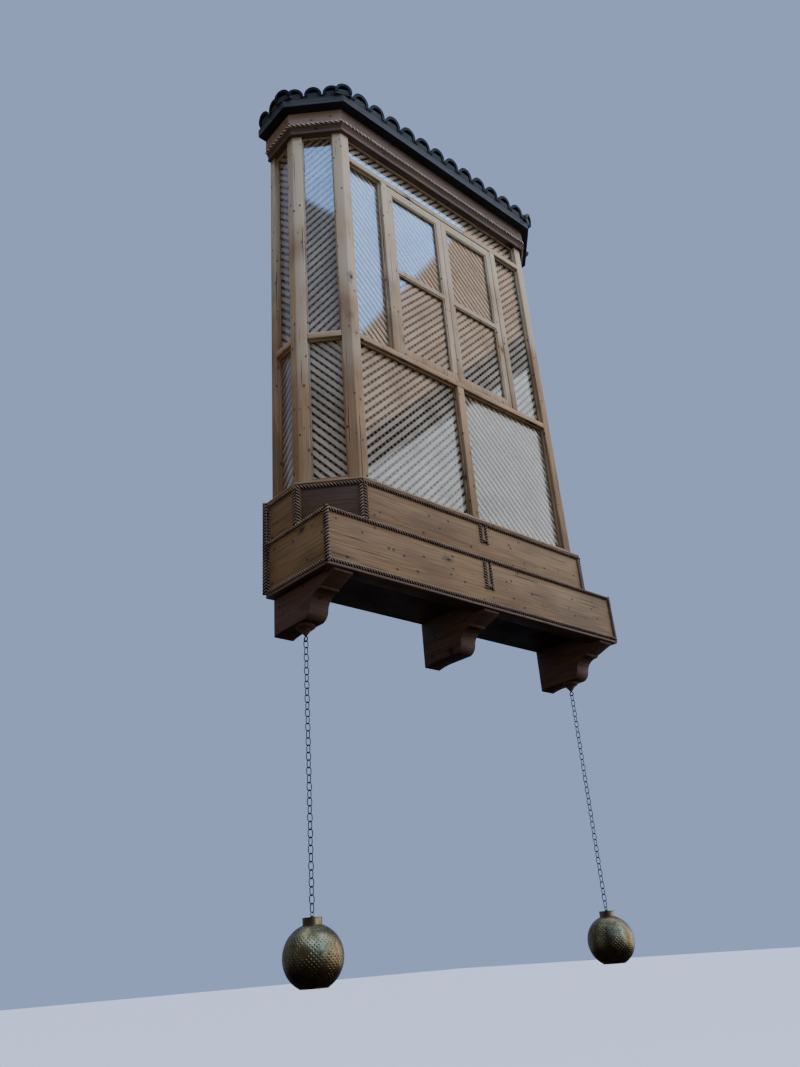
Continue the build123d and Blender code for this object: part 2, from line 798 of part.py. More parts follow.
def lantern(label, side, links):
    """A brass globe, open below, with a collar, a knob and a loop for the chain."""
    last_link = first_link_height - (links - 1) * link_step
    loop_height = last_link - link_length / 2 + seat_gap + loop_wire_radius - loop_radius
    collar_top = loop_height - loop_radius - knob_height
    mouth = -sqrt(globe_radius**2 - globe_mouth_radius**2)
    outer = globe_profile(globe_radius, collar_radius, mouth)
    inner = globe_profile(globe_radius - globe_wall, collar_radius - globe_wall, mouth)
    collar_foot = outer[-1][0]
    centre = collar_top - collar_height - collar_foot
    x, y = side * bracket_spacing, -drop_reach
    collar_inner_top = collar_foot + collar_height - collar_top_thickness
    outer.append((collar_foot + collar_height, collar_radius))
    inner.append((collar_inner_top, collar_radius - globe_wall))
    shell = stacked([(centre + height, radius) for height, radius in outer], x, y, GLOBE_SIDES)
    hollow = stacked([(centre + height, radius) for height, radius in inner], x, y, GLOBE_SIDES)
    across = (1, 0, 0) if links % 2 == 0 else (0, 1, 0)
    loop_plane = Plane((x, y, loop_height), x_dir=across, z_dir=Vector(*across).cross(Vector(0, 0, 1)))
    loop = wire_ring(loop_plane, loop_radius, loop_wire_radius)
    with BuildPart() as globe:
        add(shell)
        add(hollow, mode=Mode.SUBTRACT)
        with BuildSketch(Plane((x, y, collar_top))):
            RegularPolygon(knob_radius, WIRE_SIDES)
        extrude(amount=knob_height)
        add(loop)
    save(globe, label)


lantern("lantern_left", -1, left_links)
lantern("lantern_right", 1, right_links)
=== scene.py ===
# The looks of an oriel mashrabiya: weathered pine frame, boards edged with carved rope,
# slatted lattice behind glass, a small glazed tile roof, and two pierced brass lanterns.
from math import atan2, cos, pi, radians, sin, sqrt, tan

import bmesh
import bpy
from mathutils import Matrix, Quaternion, Vector


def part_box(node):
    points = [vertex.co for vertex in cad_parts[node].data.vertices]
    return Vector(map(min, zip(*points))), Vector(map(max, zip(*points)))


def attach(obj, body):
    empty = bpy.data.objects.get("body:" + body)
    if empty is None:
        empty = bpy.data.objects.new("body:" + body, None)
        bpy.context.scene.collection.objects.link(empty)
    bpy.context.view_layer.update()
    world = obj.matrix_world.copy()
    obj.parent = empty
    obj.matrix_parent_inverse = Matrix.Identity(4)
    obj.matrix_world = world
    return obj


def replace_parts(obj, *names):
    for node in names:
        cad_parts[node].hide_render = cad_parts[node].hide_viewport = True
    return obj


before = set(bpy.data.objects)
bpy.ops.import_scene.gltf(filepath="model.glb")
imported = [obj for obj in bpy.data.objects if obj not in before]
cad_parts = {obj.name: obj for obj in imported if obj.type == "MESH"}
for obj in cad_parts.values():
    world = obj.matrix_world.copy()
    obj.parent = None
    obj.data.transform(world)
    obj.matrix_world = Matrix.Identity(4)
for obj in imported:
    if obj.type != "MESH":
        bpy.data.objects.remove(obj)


def box(node):
    """Lowest and highest corners of a CAD node."""
    return [Vector(corner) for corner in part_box(node)]


UP = Vector((0, 0, 1))
DOUBLES = 1e-6  # Points nearer to each other than this are one

# The photograph's view: where it was taken from, its heading from +Y towards +X,
# its elevation, its roll, and its focal length in widths of the picture
CAMERA_PLACE = (-3.263, -3.305, -1.625)
CAMERA_HEADING = 43.16
CAMERA_ELEVATION = 26.06
CAMERA_ROLL = -4.44
CAMERA_FOCAL_WIDTHS = 868.2 / 800
SENSOR_WIDTH = 36

# The surroundings as light: each band lies where its axis and a direction agree by more
# than one limit, is full past the next, and covers the bands before it. Colour, strength
BASE_LIGHT = ("#8f8478", 0.10)
LIGHT_BANDS = (
    ((0.0, 0.0, 1.0), -0.30, 0.05, "#aeb6c8", 0.75),
    ((0.8, -0.6, 0.0), 0.35, 0.75, "#bdbec2", 4.5),
    ((-0.67, 0.04, 0.74), -0.035, -0.025, "#3a3a3e", 0.7),
    ((-0.67, 0.04, 0.74), 0.0, 0.01, "#b08a6c", 2.9),
    ((-0.81, -0.09, 0.58), 0.0, 0.01, "#8ab6f6", 7.3),
    ((-1.0, 0.0, -0.9), -0.125, -0.115, "#8f98ac", 1.4),
    ((-1.0, 0.0, -0.9), 0.00, 0.18, "#77706b", 0.75),
    ((0.0, 1.0, 0.0), 0.0, 0.15, "#93a3c4", 0.85),
    ((0.0, 0.0, 1.0), 0.80, 0.90, "#b8d0f4", 3.5),
    ((0.0, 0.0, -1.0), 0.14, 0.34, "#4a4038", 0.45),
)
# How much of the surroundings' colour gives way to a warm grey in the light they cast
WARM_GREY = (1.10, 0.99, 0.92)
WARM_SHARE = 0.85

# Plan and heights of the bay, from the frame
apron_low, apron_high = box("upper_apron")
lower_low, lower_high = box("lower_apron")
eave_high = box("eave_board")[1]
fascia_low, fascia_high = box("fascia")
cap_low, cap_high = box("sill_cap")
head_low = box("head_rails")[0]
HALF_WIDTH = apron_high.x
DEPTH = -apron_low.y
CANT_RUN = 0.235
EAVE_OVERHANG = eave_high.x - HALF_WIDTH
MITRE = tan(radians(22.5))
FACETS = range(5)
FRONT, LAST = 2, 4

# How far the panes run on up behind the fascia, how near the head rails a pane's top edge
# lies, and half the height of a head rail
HEAD_RISE = 0.040
HEAD_REACH = 0.020
HEAD_HALF = 0.030

# Width of the eased arrises
ARRIS = 0.0025
BOARD_ARRIS = 0.003
POST_ARRIS = 0.004

# Mouldings: the depth of the sill cap behind its edge, and how far in the fascia's back lies
CAP_TAIL = 0.120
FASCIA_BACK = -0.034
FASCIA_STEP_HEIGHT = 0.054

# Carved ropes: those of the tiers, of the back edges, of the square corners and the bead.
# A groove's depth is a share of the radius, as is how far a level rope runs past a corner
# and how far below it an upright one stops. Tabs are the loops at the front's middle
ROPE_RADIUS = 0.013
EDGE_ROPE_RADIUS = 0.012
EDGE_ROPE_OFFSET = 0.021
THICK_ROPE_RADIUS = 0.016
BEAD_RADIUS = 0.008
ROPE_STRANDS = 3
BEAD_STRANDS = 2
STRAND_SPACING = 0.0165
BEAD_STRAND_SPACING = 0.030
GROOVE_SHARE = 0.38
STEPS_A_STRAND = 4.2
SECTION_POINTS = 20
LEVEL_OVERRUN = 0.3
UPRIGHT_STOP = 0.6
TAB_HALF_WIDTH = 0.022
UPPER_TAB_DROP = 0.104
LOWER_TAB_DROP = 0.160

# Panes and lattice slats
PANE_NODES = ("glass_left", "glass_front", "glass_right")
SLAT_WIDTH = 0.022
SLAT_THICKNESS = 0.006
SLAT_PITCH = 0.054
BACK_SLAT_OFFSET = 0.0076
SLAT_REACH = 0.3
WHOLE_SLAT_SHARE = 0.95
PANE_REACH = 0.02

# Roof: barrel tiles with their crests up as covers, between them the same tiles as pans,
# and mortar (fill) in the covers' open ends. A cover's far end sinks towards the bed by a
# share of its run, and each tile lies a little higher than the one that it laps
ROOF_SLOPE = radians(18)
BED_DEPTH = 0.040
BED_TOP = eave_high.z + BED_DEPTH
TILE_RADIUS = 0.052
TILE_TAPER = 0.86
TILE_FILL = 0.48
TILE_WALL = 0.016
TILE_HALF_TURN = radians(96)
TILE_STEPS = 12
TILE_LIP = 0.012
TILE_MARGIN = 0.002
FRONT_TILE_PITCH = 0.134
SIDE_TILE_PITCH = 0.116
TILE_EXPOSED = 0.245
TILE_LAP = 0.045
TILE_LENGTH = TILE_EXPOSED + TILE_LAP
TILE_OVERHANG = 0.012
COVER_TILT = radians(0.7)
COVER_LIFT = 0.013
COVER_SINK = 0.018
LAP_RISE = 0.004
TOP_GAP = 0.012
HIP_LIFT = 0.002
HIP_GIRTH = 1.08
PAN_HALF_WIDTH = 0.042
PAN_DEPTH = 0.020
PAN_LIFT = 0.002
PAN_OVERHANG = 0.0072
PAN_TILT = radians(0.5)
SHORTEST_PAN = 0.08
FILL_SPREAD = 1.06
FILL_BULGE = 1.02
FILL_FOOT = 0.016
FILL_BRIM = 0.002
FILL_CREST = 0.62
FILL_WAVE = 0.10

# Chains
LINK_INSIDE = 0.0325
LINK_INSIDE_WIDTH = 0.019
LINK_WIRE = 0.0042
CHAIN_LINKS = {"left": 36, "right": 37}

# Lanterns: the pattern of holes repeats every so many cells of the globe
GLOBE_RADIUS = 0.1245
GLOBE_WALL = 0.0012
GLOBE_COLUMNS = 80
GLOBE_BANDS = 30
PATTERN_CELLS = 8
HOLE_SHARE = 0.17
MOUTH_RADIUS = 0.058
MOUTH_HEIGHT = -sqrt(GLOBE_RADIUS ** 2 - MOUTH_RADIUS ** 2)
COLLAR_RADIUS = 0.040
COLLAR_HEIGHT = 0.028
COLLAR_FOOT = sqrt(GLOBE_RADIUS ** 2 - COLLAR_RADIUS ** 2)
RIM_RADIUS = 0.0016
RIM_LIFT = 0.0018
LOOP_INSIDE = 0.012
LOOP_WIRE = 0.004

# Stage: the floor, and the dark card behind the open back
FLOOR_HEIGHT = -3.3
FLOOR_REACH = 90
ROOM_HALF_WIDTH = 1.0
ROOM_LOW, ROOM_HIGH = 0.065, 3.14
ROOM_PLACE = 0.004


# Nodes and materials

# Settings that many nodes share: a soft start and end, and a mix of colours
SMOOTH = {"interpolation_type": "SMOOTHSTEP"}
COLOUR = {"data_type": "RGBA"}


def add(tree, kind, inputs=None, **settings):
    """Adds a node with its settings, links or sets its inputs, and gives its outputs."""
    item = tree.nodes.new(kind if "Node" in kind else "ShaderNode" + kind)
    for name, value in settings.items():
        setattr(item, name, value)
    for key, value in (inputs or {}).items():
        if isinstance(value, bpy.types.NodeSocket):
            tree.links.new(value, item.inputs[key])
        else:
            item.inputs[key].default_value = value
    return item.outputs


def srgb(code):
    """A colour written as an sRGB hex value, as linear red, green, blue and alpha."""
    shares = [int(code[n:n + 2], 16) / 255 for n in (1, 3, 5)]
    return [s / 12.92 if s <= 0.04045 else ((s + 0.055) / 1.055) ** 2.4 for s in shares] + [1]


def new_material(name):
    """An empty material and its node tree."""
    material = bpy.data.materials.new(name)
    material.use_nodes = True
    material.node_tree.nodes.clear()
    return material, material.node_tree


def shade(material, inputs):
    """Ends a material with a shader that takes these inputs."""
    shader = add(material.node_tree, "BsdfPrincipled", inputs)[0]
    add(material.node_tree, "OutputMaterial", {"Surface": shader})
    return material


# Marks of sawn pine: length along the grain and width across it in millimetres, then the
# detail and roughness of their noise. Real fibres are 1 mm wide or less, and real splits
# about 2 mm: both are drawn over four times as wide, or they would not show
PINE_MARKS = {
    "rings": (2600, 120, 1.0, 0.4),
    "late_wood": (900, 50, 1.0, 0.5),
    "fibres": (280, 4.5, 3.0, 0.7),
    "splits": (550, 9, 1.0, 0.5),
    "blotches": (550, 200, 3.0, 0.5),
    "weather": (500, 500, 3.0, 0.5),
    "knots": (240, 130, 0, 0),
    "pin_knots": (75, 50, 0, 0),
}
RINGS_DRAWN = 26
SPLIT_COVER = 0.85


def wood(name, grain, tones, greying_share):
    """Sawn softwood: growth rings that bend round knots, fibres, splits and grey weathering, greyer
    higher up where it is partly painted light from above.
    """
    light, mid, dark, grey, knot = tones
    material, tree = new_material(name)
    place = add(tree, "TexCoord")["Object"]
    spread, marks = {}, {}
    for mark, (along, across, detail, roughness) in PINE_MARKS.items():
        side, rise = (across, along) if grain == "upright" else (along, across)
        scale = (1000 / side, 1000 / side, 1000 / rise)
        spread[mark] = add(tree, "Mapping", {"Vector": place, "Scale": scale})[0]
        if detail:
            noise = {"Scale": 1.0, "Detail": detail, "Roughness": roughness}
            marks[mark] = add(tree, "TexNoise", {"Vector": spread[mark], **noise})[0]

    # Knots in four cells out of ten, pushed out of their places by noise of 45 mm
    wander = add(tree, "TexNoise", {"Vector": place, "Scale": 22.0, "Detail": 2.0})["Color"]
    strayed = add(tree, "VectorMath", {0: wander, "Scale": 0.30}, operation="SCALE")[0]
    cells = add(tree, "VectorMath", {0: spread["knots"], 1: strayed}, operation="ADD")[0]
    knots = add(tree, "TexVoronoi", {"Vector": cells, "Scale": 1.0, "Randomness": 1.0})
    chance = add(tree, "SeparateColor", {0: knots["Color"]})[0]
    limits = {"Value": chance, "From Min": 0.62, "From Max": 0.50}
    bare = add(tree, "MapRange", limits, **SMOOTH)[0]
    distance = add(tree, "Math", {0: knots["Distance"], 1: bare}, operation="ADD")[0]
    specks = {"Vector": spread["pin_knots"], "Scale": 1.0, "Randomness": 1.0}
    pin_knots = add(tree, "TexVoronoi", specks)["Distance"]

    # Growth rings, pushed aside by the knots, with their narrow dark late wood
    limits = {"Value": distance, "From Min": 0.36, "From Max": 0.02}
    bend = add(tree, "MapRange", limits, **SMOOTH)[0]
    field = {0: bend, 1: 0.10, 2: marks["rings"]}
    field = add(tree, "Math", field, operation="MULTIPLY_ADD")[0]
    turn = add(tree, "Math", {0: field, 1: 2 * pi * RINGS_DRAWN}, operation="MULTIPLY")[0]
    wave = add(tree, "Math", {0: turn}, operation="SINE")[0]
    rings = add(tree, "Math", {0: wave, 1: 0.5, 2: 0.5}, operation="MULTIPLY_ADD")[0]
    narrow = add(tree, "Math", {0: rings, 1: 1.6}, operation="POWER")[0]
    late = {0: narrow, 1: marks["late_wood"]}
    late_wood = add(tree, "Math", late, operation="MULTIPLY")[0]

    # Greyer higher up: partly more weathering, partly painted light that falls from above
    height = add(tree, "SeparateXYZ", {0: place})["Z"]
    limits = {"Value": height, "From Min": 0.8, "From Max": 2.9, "To Min": -0.20, "To Max": 0.16}
    aloft_weather_and_light = add(tree, "MapRange", limits, **SMOOTH)[0]
    greying_weather_and_light = add(tree, "Math", {0: marks["weather"], 1: aloft_weather_and_light}, operation="ADD")[0]

    # Layers of colour: what each follows, where it starts and is full, its cover and tone
    layers = {
        "fibres": (marks["fibres"], 0.36, 0.70, 0.60, dark),
        "blotches": (marks["blotches"], 0.42, 0.72, 0.55, dark),
        # The grey layer: weathering, and towards the top painted light from above
        "greyed": (greying_weather_and_light, 0.34, 0.66, greying_share, grey),
        "low": (height, 1.8, 0.4, 0.25, dark),
        "knot_rings": (distance, 0.24, 0.10, 0.60, dark),
        "knots": (distance, 0.10, 0.045, 1.0, knot),
        "pin_knots": (pin_knots, 0.17, 0.10, 0.80, knot),
        "splits": (marks["splits"], 0.70, 0.73, SPLIT_COVER, knot),
    }
    colour = add(tree, "Mix", {0: late_wood, 6: srgb(light), 7: srgb(mid)}, **COLOUR)[2]
    shares = {}
    for layer, (value, low, high, cover, tone) in layers.items():
        limits = {"Value": value, "From Min": low, "From Max": high, "To Max": cover}
        shares[layer] = add(tree, "MapRange", limits, **SMOOTH)[0]
        colour = add(tree, "Mix", {0: shares[layer], 6: colour, 7: srgb(tone)}, **COLOUR)[2]

    # Fibres and late wood stand proud, and splits and knots lie low
    ridges = add(tree, "Math", {0: late_wood, 1: 0.35}, operation="MULTIPLY")[0]
    ridges = {0: marks["fibres"], 1: 0.7, 2: ridges}
    ridges = add(tree, "Math", ridges, operation="MULTIPLY_ADD")[0]
    hollows = {0: shares["splits"], 1: 1 / SPLIT_COVER, 2: shares["knots"]}
    hollows = add(tree, "Math", hollows, operation="MULTIPLY_ADD")[0]
    relief = add(tree, "Math", {0: ridges, 1: hollows}, operation="SUBTRACT")[0]
    limits = {"Value": marks["fibres"], "From Min": 0.2, "From Max": 0.8}
    gloss = add(tree, "MapRange", {**limits, "To Min": 0.54, "To Max": 0.76}, **SMOOTH)[0]
    bump = add(tree, "Bump", {"Strength": 0.55, "Distance": 0.0014, "Height": relief})[0]
    surface = {"Base Color": colour, "Roughness": gloss, "Specular IOR Level": 0.2}
    return shade(material, {**surface, "Normal": bump})


def rope_wood(name, groove, crest):
    """Carved softwood rope, stained dark: the crests are lighter and the grooves darker, partly
    where the stain is worn off and partly as painted highlight and shade.
    """
    material, tree = new_material(name)
    place = add(tree, "TexCoord")["Object"]
    height = add(tree, "Attribute", attribute_name="crest")["Fac"]
    # Stain comes and goes every 70 mm. Fibres are 2.5 mm apart, four times as coarse as real
    stain = add(tree, "TexNoise", {"Vector": place, "Scale": 14.0, "Detail": 4.0})[0]
    fibres = add(tree, "TexNoise", {"Vector": place, "Scale": 400.0, "Detail": 2.0})[0]
    # Lighter towards the crests: worn stain, and a painted highlight on the strands
    worn_and_lit = add(tree, "Math", {0: stain, 1: 0.6, 2: height}, operation="MULTIPLY_ADD")[0]
    limits = {"Value": worn_and_lit, "From Min": 0.88, "From Max": 1.24}
    share = add(tree, "MapRange", limits, **SMOOTH)[0]
    colour = add(tree, "Mix", {0: share, 6: srgb(groove), 7: srgb(crest)}, **COLOUR)[2]
    bump = add(tree, "Bump", {"Strength": 0.3, "Distance": 0.0006, "Height": fibres})[0]
    surface = {"Base Color": colour, "Roughness": 0.6, "Specular IOR Level": 0.3}
    return shade(material, {**surface, "Normal": bump})


def slat_wood(name, light, dark):
    """Thin planed slats of bare softwood, each a little different from the next."""
    material, tree = new_material(name)
    place = add(tree, "TexCoord")["Object"]
    # Tones shift every 200 mm, and the plane's marks are 11 mm across, wider than real
    broad = add(tree, "TexNoise", {"Vector": place, "Scale": 5.0, "Detail": 2.0})[0]
    fine = add(tree, "TexNoise", {"Vector": place, "Scale": 90.0, "Detail": 3.0})[0]
    both = add(tree, "Math", {0: fine, 1: 0.6, 2: broad}, operation="MULTIPLY_ADD")[0]
    share = add(tree, "MapRange", {"Value": both, "From Min": 0.55, "From Max": 1.05})[0]
    colour = add(tree, "Mix", {0: share, 6: srgb(dark), 7: srgb(light)}, **COLOUR)[2]
    bump = add(tree, "Bump", {"Strength": 0.3, "Distance": 0.0005, "Height": fine})[0]
    surface = {"Base Color": colour, "Roughness": 0.6, "Specular IOR Level": 0.3}
    return shade(material, {**surface, "Normal": bump})


def fired_glaze(name):
    """Fired clay tile under a dark glaze: glossy, pooled, and dusty where it is rough."""
    material, tree = new_material(name)
    place = add(tree, "TexCoord")["Object"]
    # The glaze pools every 45 mm, and dust lies in drifts of 140 mm
    pool = add(tree, "TexNoise", {"Vector": place, "Scale": 22.0, "Detail": 4.0})[0]
    dust = add(tree, "TexNoise", {"Vector": place, "Scale": 7.0, "Detail": 5.0})[0]
    limits = {"Value": dust, "From Min": 0.45, "From Max": 0.75}
    dusty = add(tree, "MapRange", limits, **SMOOTH)[0]
    glaze = {0: pool, 6: srgb("#0c0d0f"), 7: srgb("#1e2224")}
    glaze = add(tree, "Mix", glaze, **COLOUR)[2]
    colour = add(tree, "Mix", {0: dusty, 6: glaze, 7: srgb("#232626")}, **COLOUR)[2]
    limits = {"Value": dust, "From Min": 0.4, "From Max": 0.7, "To Min": 0.46, "To Max": 0.75}
    gloss = add(tree, "MapRange", limits)[0]
    bump = add(tree, "Bump", {"Strength": 0.35, "Distance": 0.002, "Height": pool})[0]
    surface = {"Base Color": colour, "Roughness": gloss, "Specular IOR Level": 0.12}
    return shade(material, {**surface, "Normal": bump})


def lime_mortar(name, light, dark):
    """Trowelled lime mortar, sooty and rough, with its sand showing."""
    material, tree = new_material(name)
    place = add(tree, "TexCoord")["Object"]
    # Soot in stains of 110 mm. Sand is drawn 6 mm across, three times as coarse as real
    stain = add(tree, "TexNoise", {"Vector": place, "Scale": 9.0, "Detail": 5.0})[0]
    sand = add(tree, "TexNoise", {"Vector": place, "Scale": 160.0, "Detail": 3.0})[0]
    colour = add(tree, "Mix", {0: stain, 6: srgb(dark), 7: srgb(light)}, **COLOUR)[2]
    both = add(tree, "Math", {0: stain, 1: sand}, operation="ADD")[0]
    bump = add(tree, "Bump", {"Strength": 0.7, "Distance": 0.003, "Height": both})[0]
    return shade(material, {"Base Color": colour, "Roughness": 0.9, "Normal": bump})


def forged_iron(name):
    """Mild steel wire, bent and blackened by weather: dull, nearly black, a little rusty."""
    material, tree = new_material(name)
    place = add(tree, "TexCoord")["Object"]
    # Rust in spots of 17 mm
    rust = add(tree, "TexNoise", {"Vector": place, "Scale": 60.0, "Detail": 4.0})[0]
    share = add(tree, "MapRange", {"Value": rust, "From Min": 0.5, "From Max": 0.72})[0]
    colour = add(tree, "Mix", {0: share, 6: srgb("#1c1c1e"), 7: srgb("#3b2a22")}, **COLOUR)[2]
    return shade(material, {"Base Color": colour, "Metallic": 0.7, "Roughness": 0.55})


def aged_brass(name):
    """Spun brass sheet, toned brown and rubbed: warm highlights, streaks and fine dents."""
    material, tree = new_material(name)
    place = add(tree, "TexCoord")["Object"]
    # Streaks 45 mm wide and 200 mm long, and dents of 13 mm
    streaks = add(tree, "Mapping", {"Vector": place, "Scale": (22.0, 22.0, 5.0)})[0]
    tone = add(tree, "TexNoise", {"Vector": streaks, "Scale": 1.0, "Detail": 5.0})[0]
    dents = add(tree, "TexNoise", {"Vector": place, "Scale": 75.0, "Detail": 3.0})[0]
    both = add(tree, "Math", {0: dents, 1: 0.5, 2: tone}, operation="MULTIPLY_ADD")[0]
    share = add(tree, "MapRange", {"Value": both, "From Min": 0.55, "From Max": 0.98})[0]
    colour = add(tree, "Mix", {0: share, 6: srgb("#463b28"), 7: srgb("#7f704e")}, **COLOUR)[2]
    limits = {"Value": both, "From Min": 0.5, "From Max": 1.0, "To Min": 0.50, "To Max": 0.27}
    gloss = add(tree, "MapRange", limits)[0]
    bump = add(tree, "Bump", {"Strength": 0.25, "Distance": 0.0008, "Height": dents})[0]
    surface = {"Base Color": colour, "Metallic": 1.0, "Roughness": gloss}
    return shade(material, {**surface, "Normal": bump})


def float_glass(name):
    """Clear float glass: it mirrors more the flatter it is seen, and lets the rest through."""
    material, tree = new_material(name)
    through = add(tree, "BsdfTransparent", {"Color": srgb("#f2f7f5")})[0]
    mirror = add(tree, "BsdfGlossy", {"Color": srgb("#f4f8ff"), "Roughness": 0.02})[0]
    slant = add(tree, "LayerWeight", {"Blend": 0.5})["Facing"]
    glancing = add(tree, "Math", {0: slant, 1: 5.0}, operation="POWER")[0]
    share = {0: glancing, 1: 0.96, 2: 0.042}
    mirrored = add(tree, "Math", share, operation="MULTIPLY_ADD")[0]
    mixed = add(tree, "MixShader", {0: mirrored, 1: through, 2: mirror})[0]
    add(tree, "OutputMaterial", {"Surface": mixed})
    return material


# Tones of a wood: early wood, late wood, dark fibres, weathered grey that higher up is also painted
# light, knots and splits.
# Weathered pine, sawn and planed: dry and pale, greyed in patches and split along the grain
PINE = ("#9a7d59", "#826644", "#5b4831", "#a3967d", "#2a1e14")
POST_PINE = wood("weathered_pine_upright", "upright", PINE, 0.8)
RAIL_PINE = wood("weathered_pine_level", "level", PINE, 0.65)
# Oiled pine boards: a warm honey brown full of knots, hardly greyed
OILED = ("#886c46", "#705538", "#483421", "#77684f", "#1d130a")
BOARD_PINE = wood("oiled_pine_boards", "level", OILED, 0.35)
# Oiled pine faded by the sun, and lightened further as painted light thrown up under the eave: a
# soft greyish tan
FADED_AND_LIT = ("#9d846c", "#886e57", "#5f493a", "#8b8076", "#251a14")
LIT_FASCIA_PINE = wood("lit_oiled_pine_fascia", "level", FADED_AND_LIT, 0.45)
# Pine mouldings under a brown stain, darkened further as painted shade of the recesses under the
# fascia: dull umber, darker than the boards that they edge
STAINED_AND_SHADED = ("#685241", "#534133", "#32261e", "#5c5149", "#1c1410")
MOULDING_PINE = wood("stained_and_shaded_pine_moulding", "level", STAINED_AND_SHADED, 0.3)
# Pine boards that keep their oil, darkened on the canted faces as painted shade: deep brown with
# black knots
DEEP = ("#533b22", "#412c19", "#281a0e", "#463726", "#100904")
SHADED_CANT_PINE = wood("shaded_pine_cant", "level", DEEP, 0.3)
# Pine blackened by lamp soot: dull, its grain still just there
SOOTED = ("#5c4536", "#4a362a", "#2c1f18", "#463b34", "#140e0a")
DARK_PINE = wood("sooted_pine", "level", SOOTED, 0.3)
# Tarred pine: a cool black with hardly any grain left
TARRED = ("#2c2a2c", "#242224", "#161416", "#222022", "#0a0909")
TARRED_PINE = wood("tarred_pine", "level", TARRED, 0.3)
# Tarred pine edges that the weather has turned charcoal grey
CHARRED = ("#373534", "#2d2b2a", "#1d1c1b", "#3c3a38", "#0c0b0a")
EDGE_PINE = wood("weathered_eave_edge", "level", CHARRED, 0.6)
# Carved pine: black grooves and rubbed brown crests, or cream crests where it was oiled, the crests
# partly painted highlight and the grooves partly painted shade
ROPE_WOOD = rope_wood("stained_rope_carving_painted_light", "#0e0907", "#86694c")
BEAD_WOOD = rope_wood("oiled_rope_bead_painted_light", "#2c2018", "#ead9bd")
# Planed pine slats: bare and pinkish tan in front, and brown behind, where the darker colour is
# painted shade cast by the front slats
SLAT_WOOD = slat_wood("planed_pine_slats", "#c0a492", "#917766")
SHADED_SLAT_WOOD = slat_wood("shaded_pine_slats", "#6f5b4d", "#4a3b31")
# Fired clay with a manganese glaze: almost black, with soft lights along each tile
TILE_GLAZE = fired_glaze("manganese_glazed_clay")
# Lime mortar: matt, sooted to a greenish charcoal
BED_MORTAR = lime_mortar("sooty_lime_mortar", "#41423e", "#232421")
# Blackened iron: thin dark links with a dull gleam
IRON = forged_iron("blackened_iron")
# Aged spun brass: a dim brown gold that lights up where hands have rubbed it
BRASS = aged_brass("aged_spun_brass")
# Clear float glass: bright when it is seen at a slant, and clear face on
GLASS = float_glass("clear_float_glass")


# Meshes and pieces

def show(name, data):
    """Puts a mesh, curve, light or camera in the scene as an object."""
    shown = bpy.data.objects.new(name, data)
    bpy.context.scene.collection.objects.link(shown)
    return shown


def place_piece(name, mesh, body, finish, smooth=None):
    """Puts a mesh in the scene as a piece that rides on a body."""
    if smooth is not None:
        mesh.shade_smooth()
        mesh.set_sharp_from_angle(angle=radians(smooth))
    mesh.materials.clear()
    mesh.materials.append(finish)
    piece = show(name, mesh)
    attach(piece, body)
    return piece


def mesh_of(name, points, faces):
    """A mesh from its points and faces."""
    mesh = bpy.data.meshes.new(name)
    mesh.from_pydata(points, [], faces)
    return mesh


def merged(mesh):
    """A copy of a mesh to work on, with its doubles merged."""
    work = bmesh.new()
    work.from_mesh(mesh)
    bmesh.ops.remove_doubles(work, verts=work.verts, dist=DOUBLES)
    return work


def worked(work, mesh):
    """Writes a copy that was worked on into a mesh."""
    work.to_mesh(mesh)
    work.free()
    return mesh


def outward(mesh):
    """Merges doubles and turns all faces outwards."""
    work = merged(mesh)
    bmesh.ops.recalc_face_normals(work, faces=work.faces)
    return worked(work, mesh)


def skin(name, rings, joined=False, caps=False):
    """A mesh over closed rings of points, all of the same length."""
    size = len(rings[0])
    points = [tuple(point) for ring in rings for point in ring]
    faces = []
    for row in range(len(rings) if joined else len(rings) - 1):
        this, following = row * size, (row + 1) % len(rings) * size
        for n in range(size):
            m = (n + 1) % size
            faces.append((this + n, this + m, following + m, following + n))
    if caps:
        faces.append(tuple(range(size)))
        faces.append(tuple(range(len(points) - size, len(points))))
    return outward(mesh_of(name, points, faces))


def repaint(node, finish):
    """Gives a CAD node its material."""
    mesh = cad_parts[node].data
    mesh.materials.clear()
    mesh.materials.append(finish)


def whole_faces(node):
    """A copy of a CAD node to work on, with each of its flat faces in one."""
    work = merged(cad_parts[node].data)
    bmesh.ops.dissolve_limit(work, angle_limit=radians(2), verts=work.verts, edges=work.edges)
    return work


def eased(node, finish, width=ARRIS):
    """A CAD board with its sharp arrises eased, in its place."""
    work = whole_faces(node)
    sharp = [e for e in work.edges if e.is_manifold and e.calc_face_angle() > radians(20)]
    round_off = {"segments": 2, "profile": 0.5, "affect": "EDGES", "clamp_overlap": True}
    bmesh.ops.bevel(work, geom=sharp, offset=width, **round_off)
    name = node + "_eased"
    mesh = worked(work, bpy.data.meshes.new(name))
    piece = place_piece(name, mesh, "bay", finish, smooth=35)
    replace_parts(piece, node)
    return piece


def heightened(node, finish):
    """A CAD piece with its top edge carried up behind the fascia."""
    work = whole_faces(node)
    for vertex in work.verts:
        if vertex.co.z > head_low.z - HEAD_REACH:
            vertex.co.z += HEAD_RISE
    name = node + "_heightened"
    mesh = worked(work, bpy.data.meshes.new(name))
    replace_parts(place_piece(name, mesh, "bay", finish), node)


def repaint_faces(piece, finish, chosen):
    """Gives a second finish to the faces that a test on their outward direction picks."""
    piece.data.materials.append(finish)
    for face in piece.data.polygons:
        if chosen(face.normal):
            face.material_index = 1


# Plan of the bay

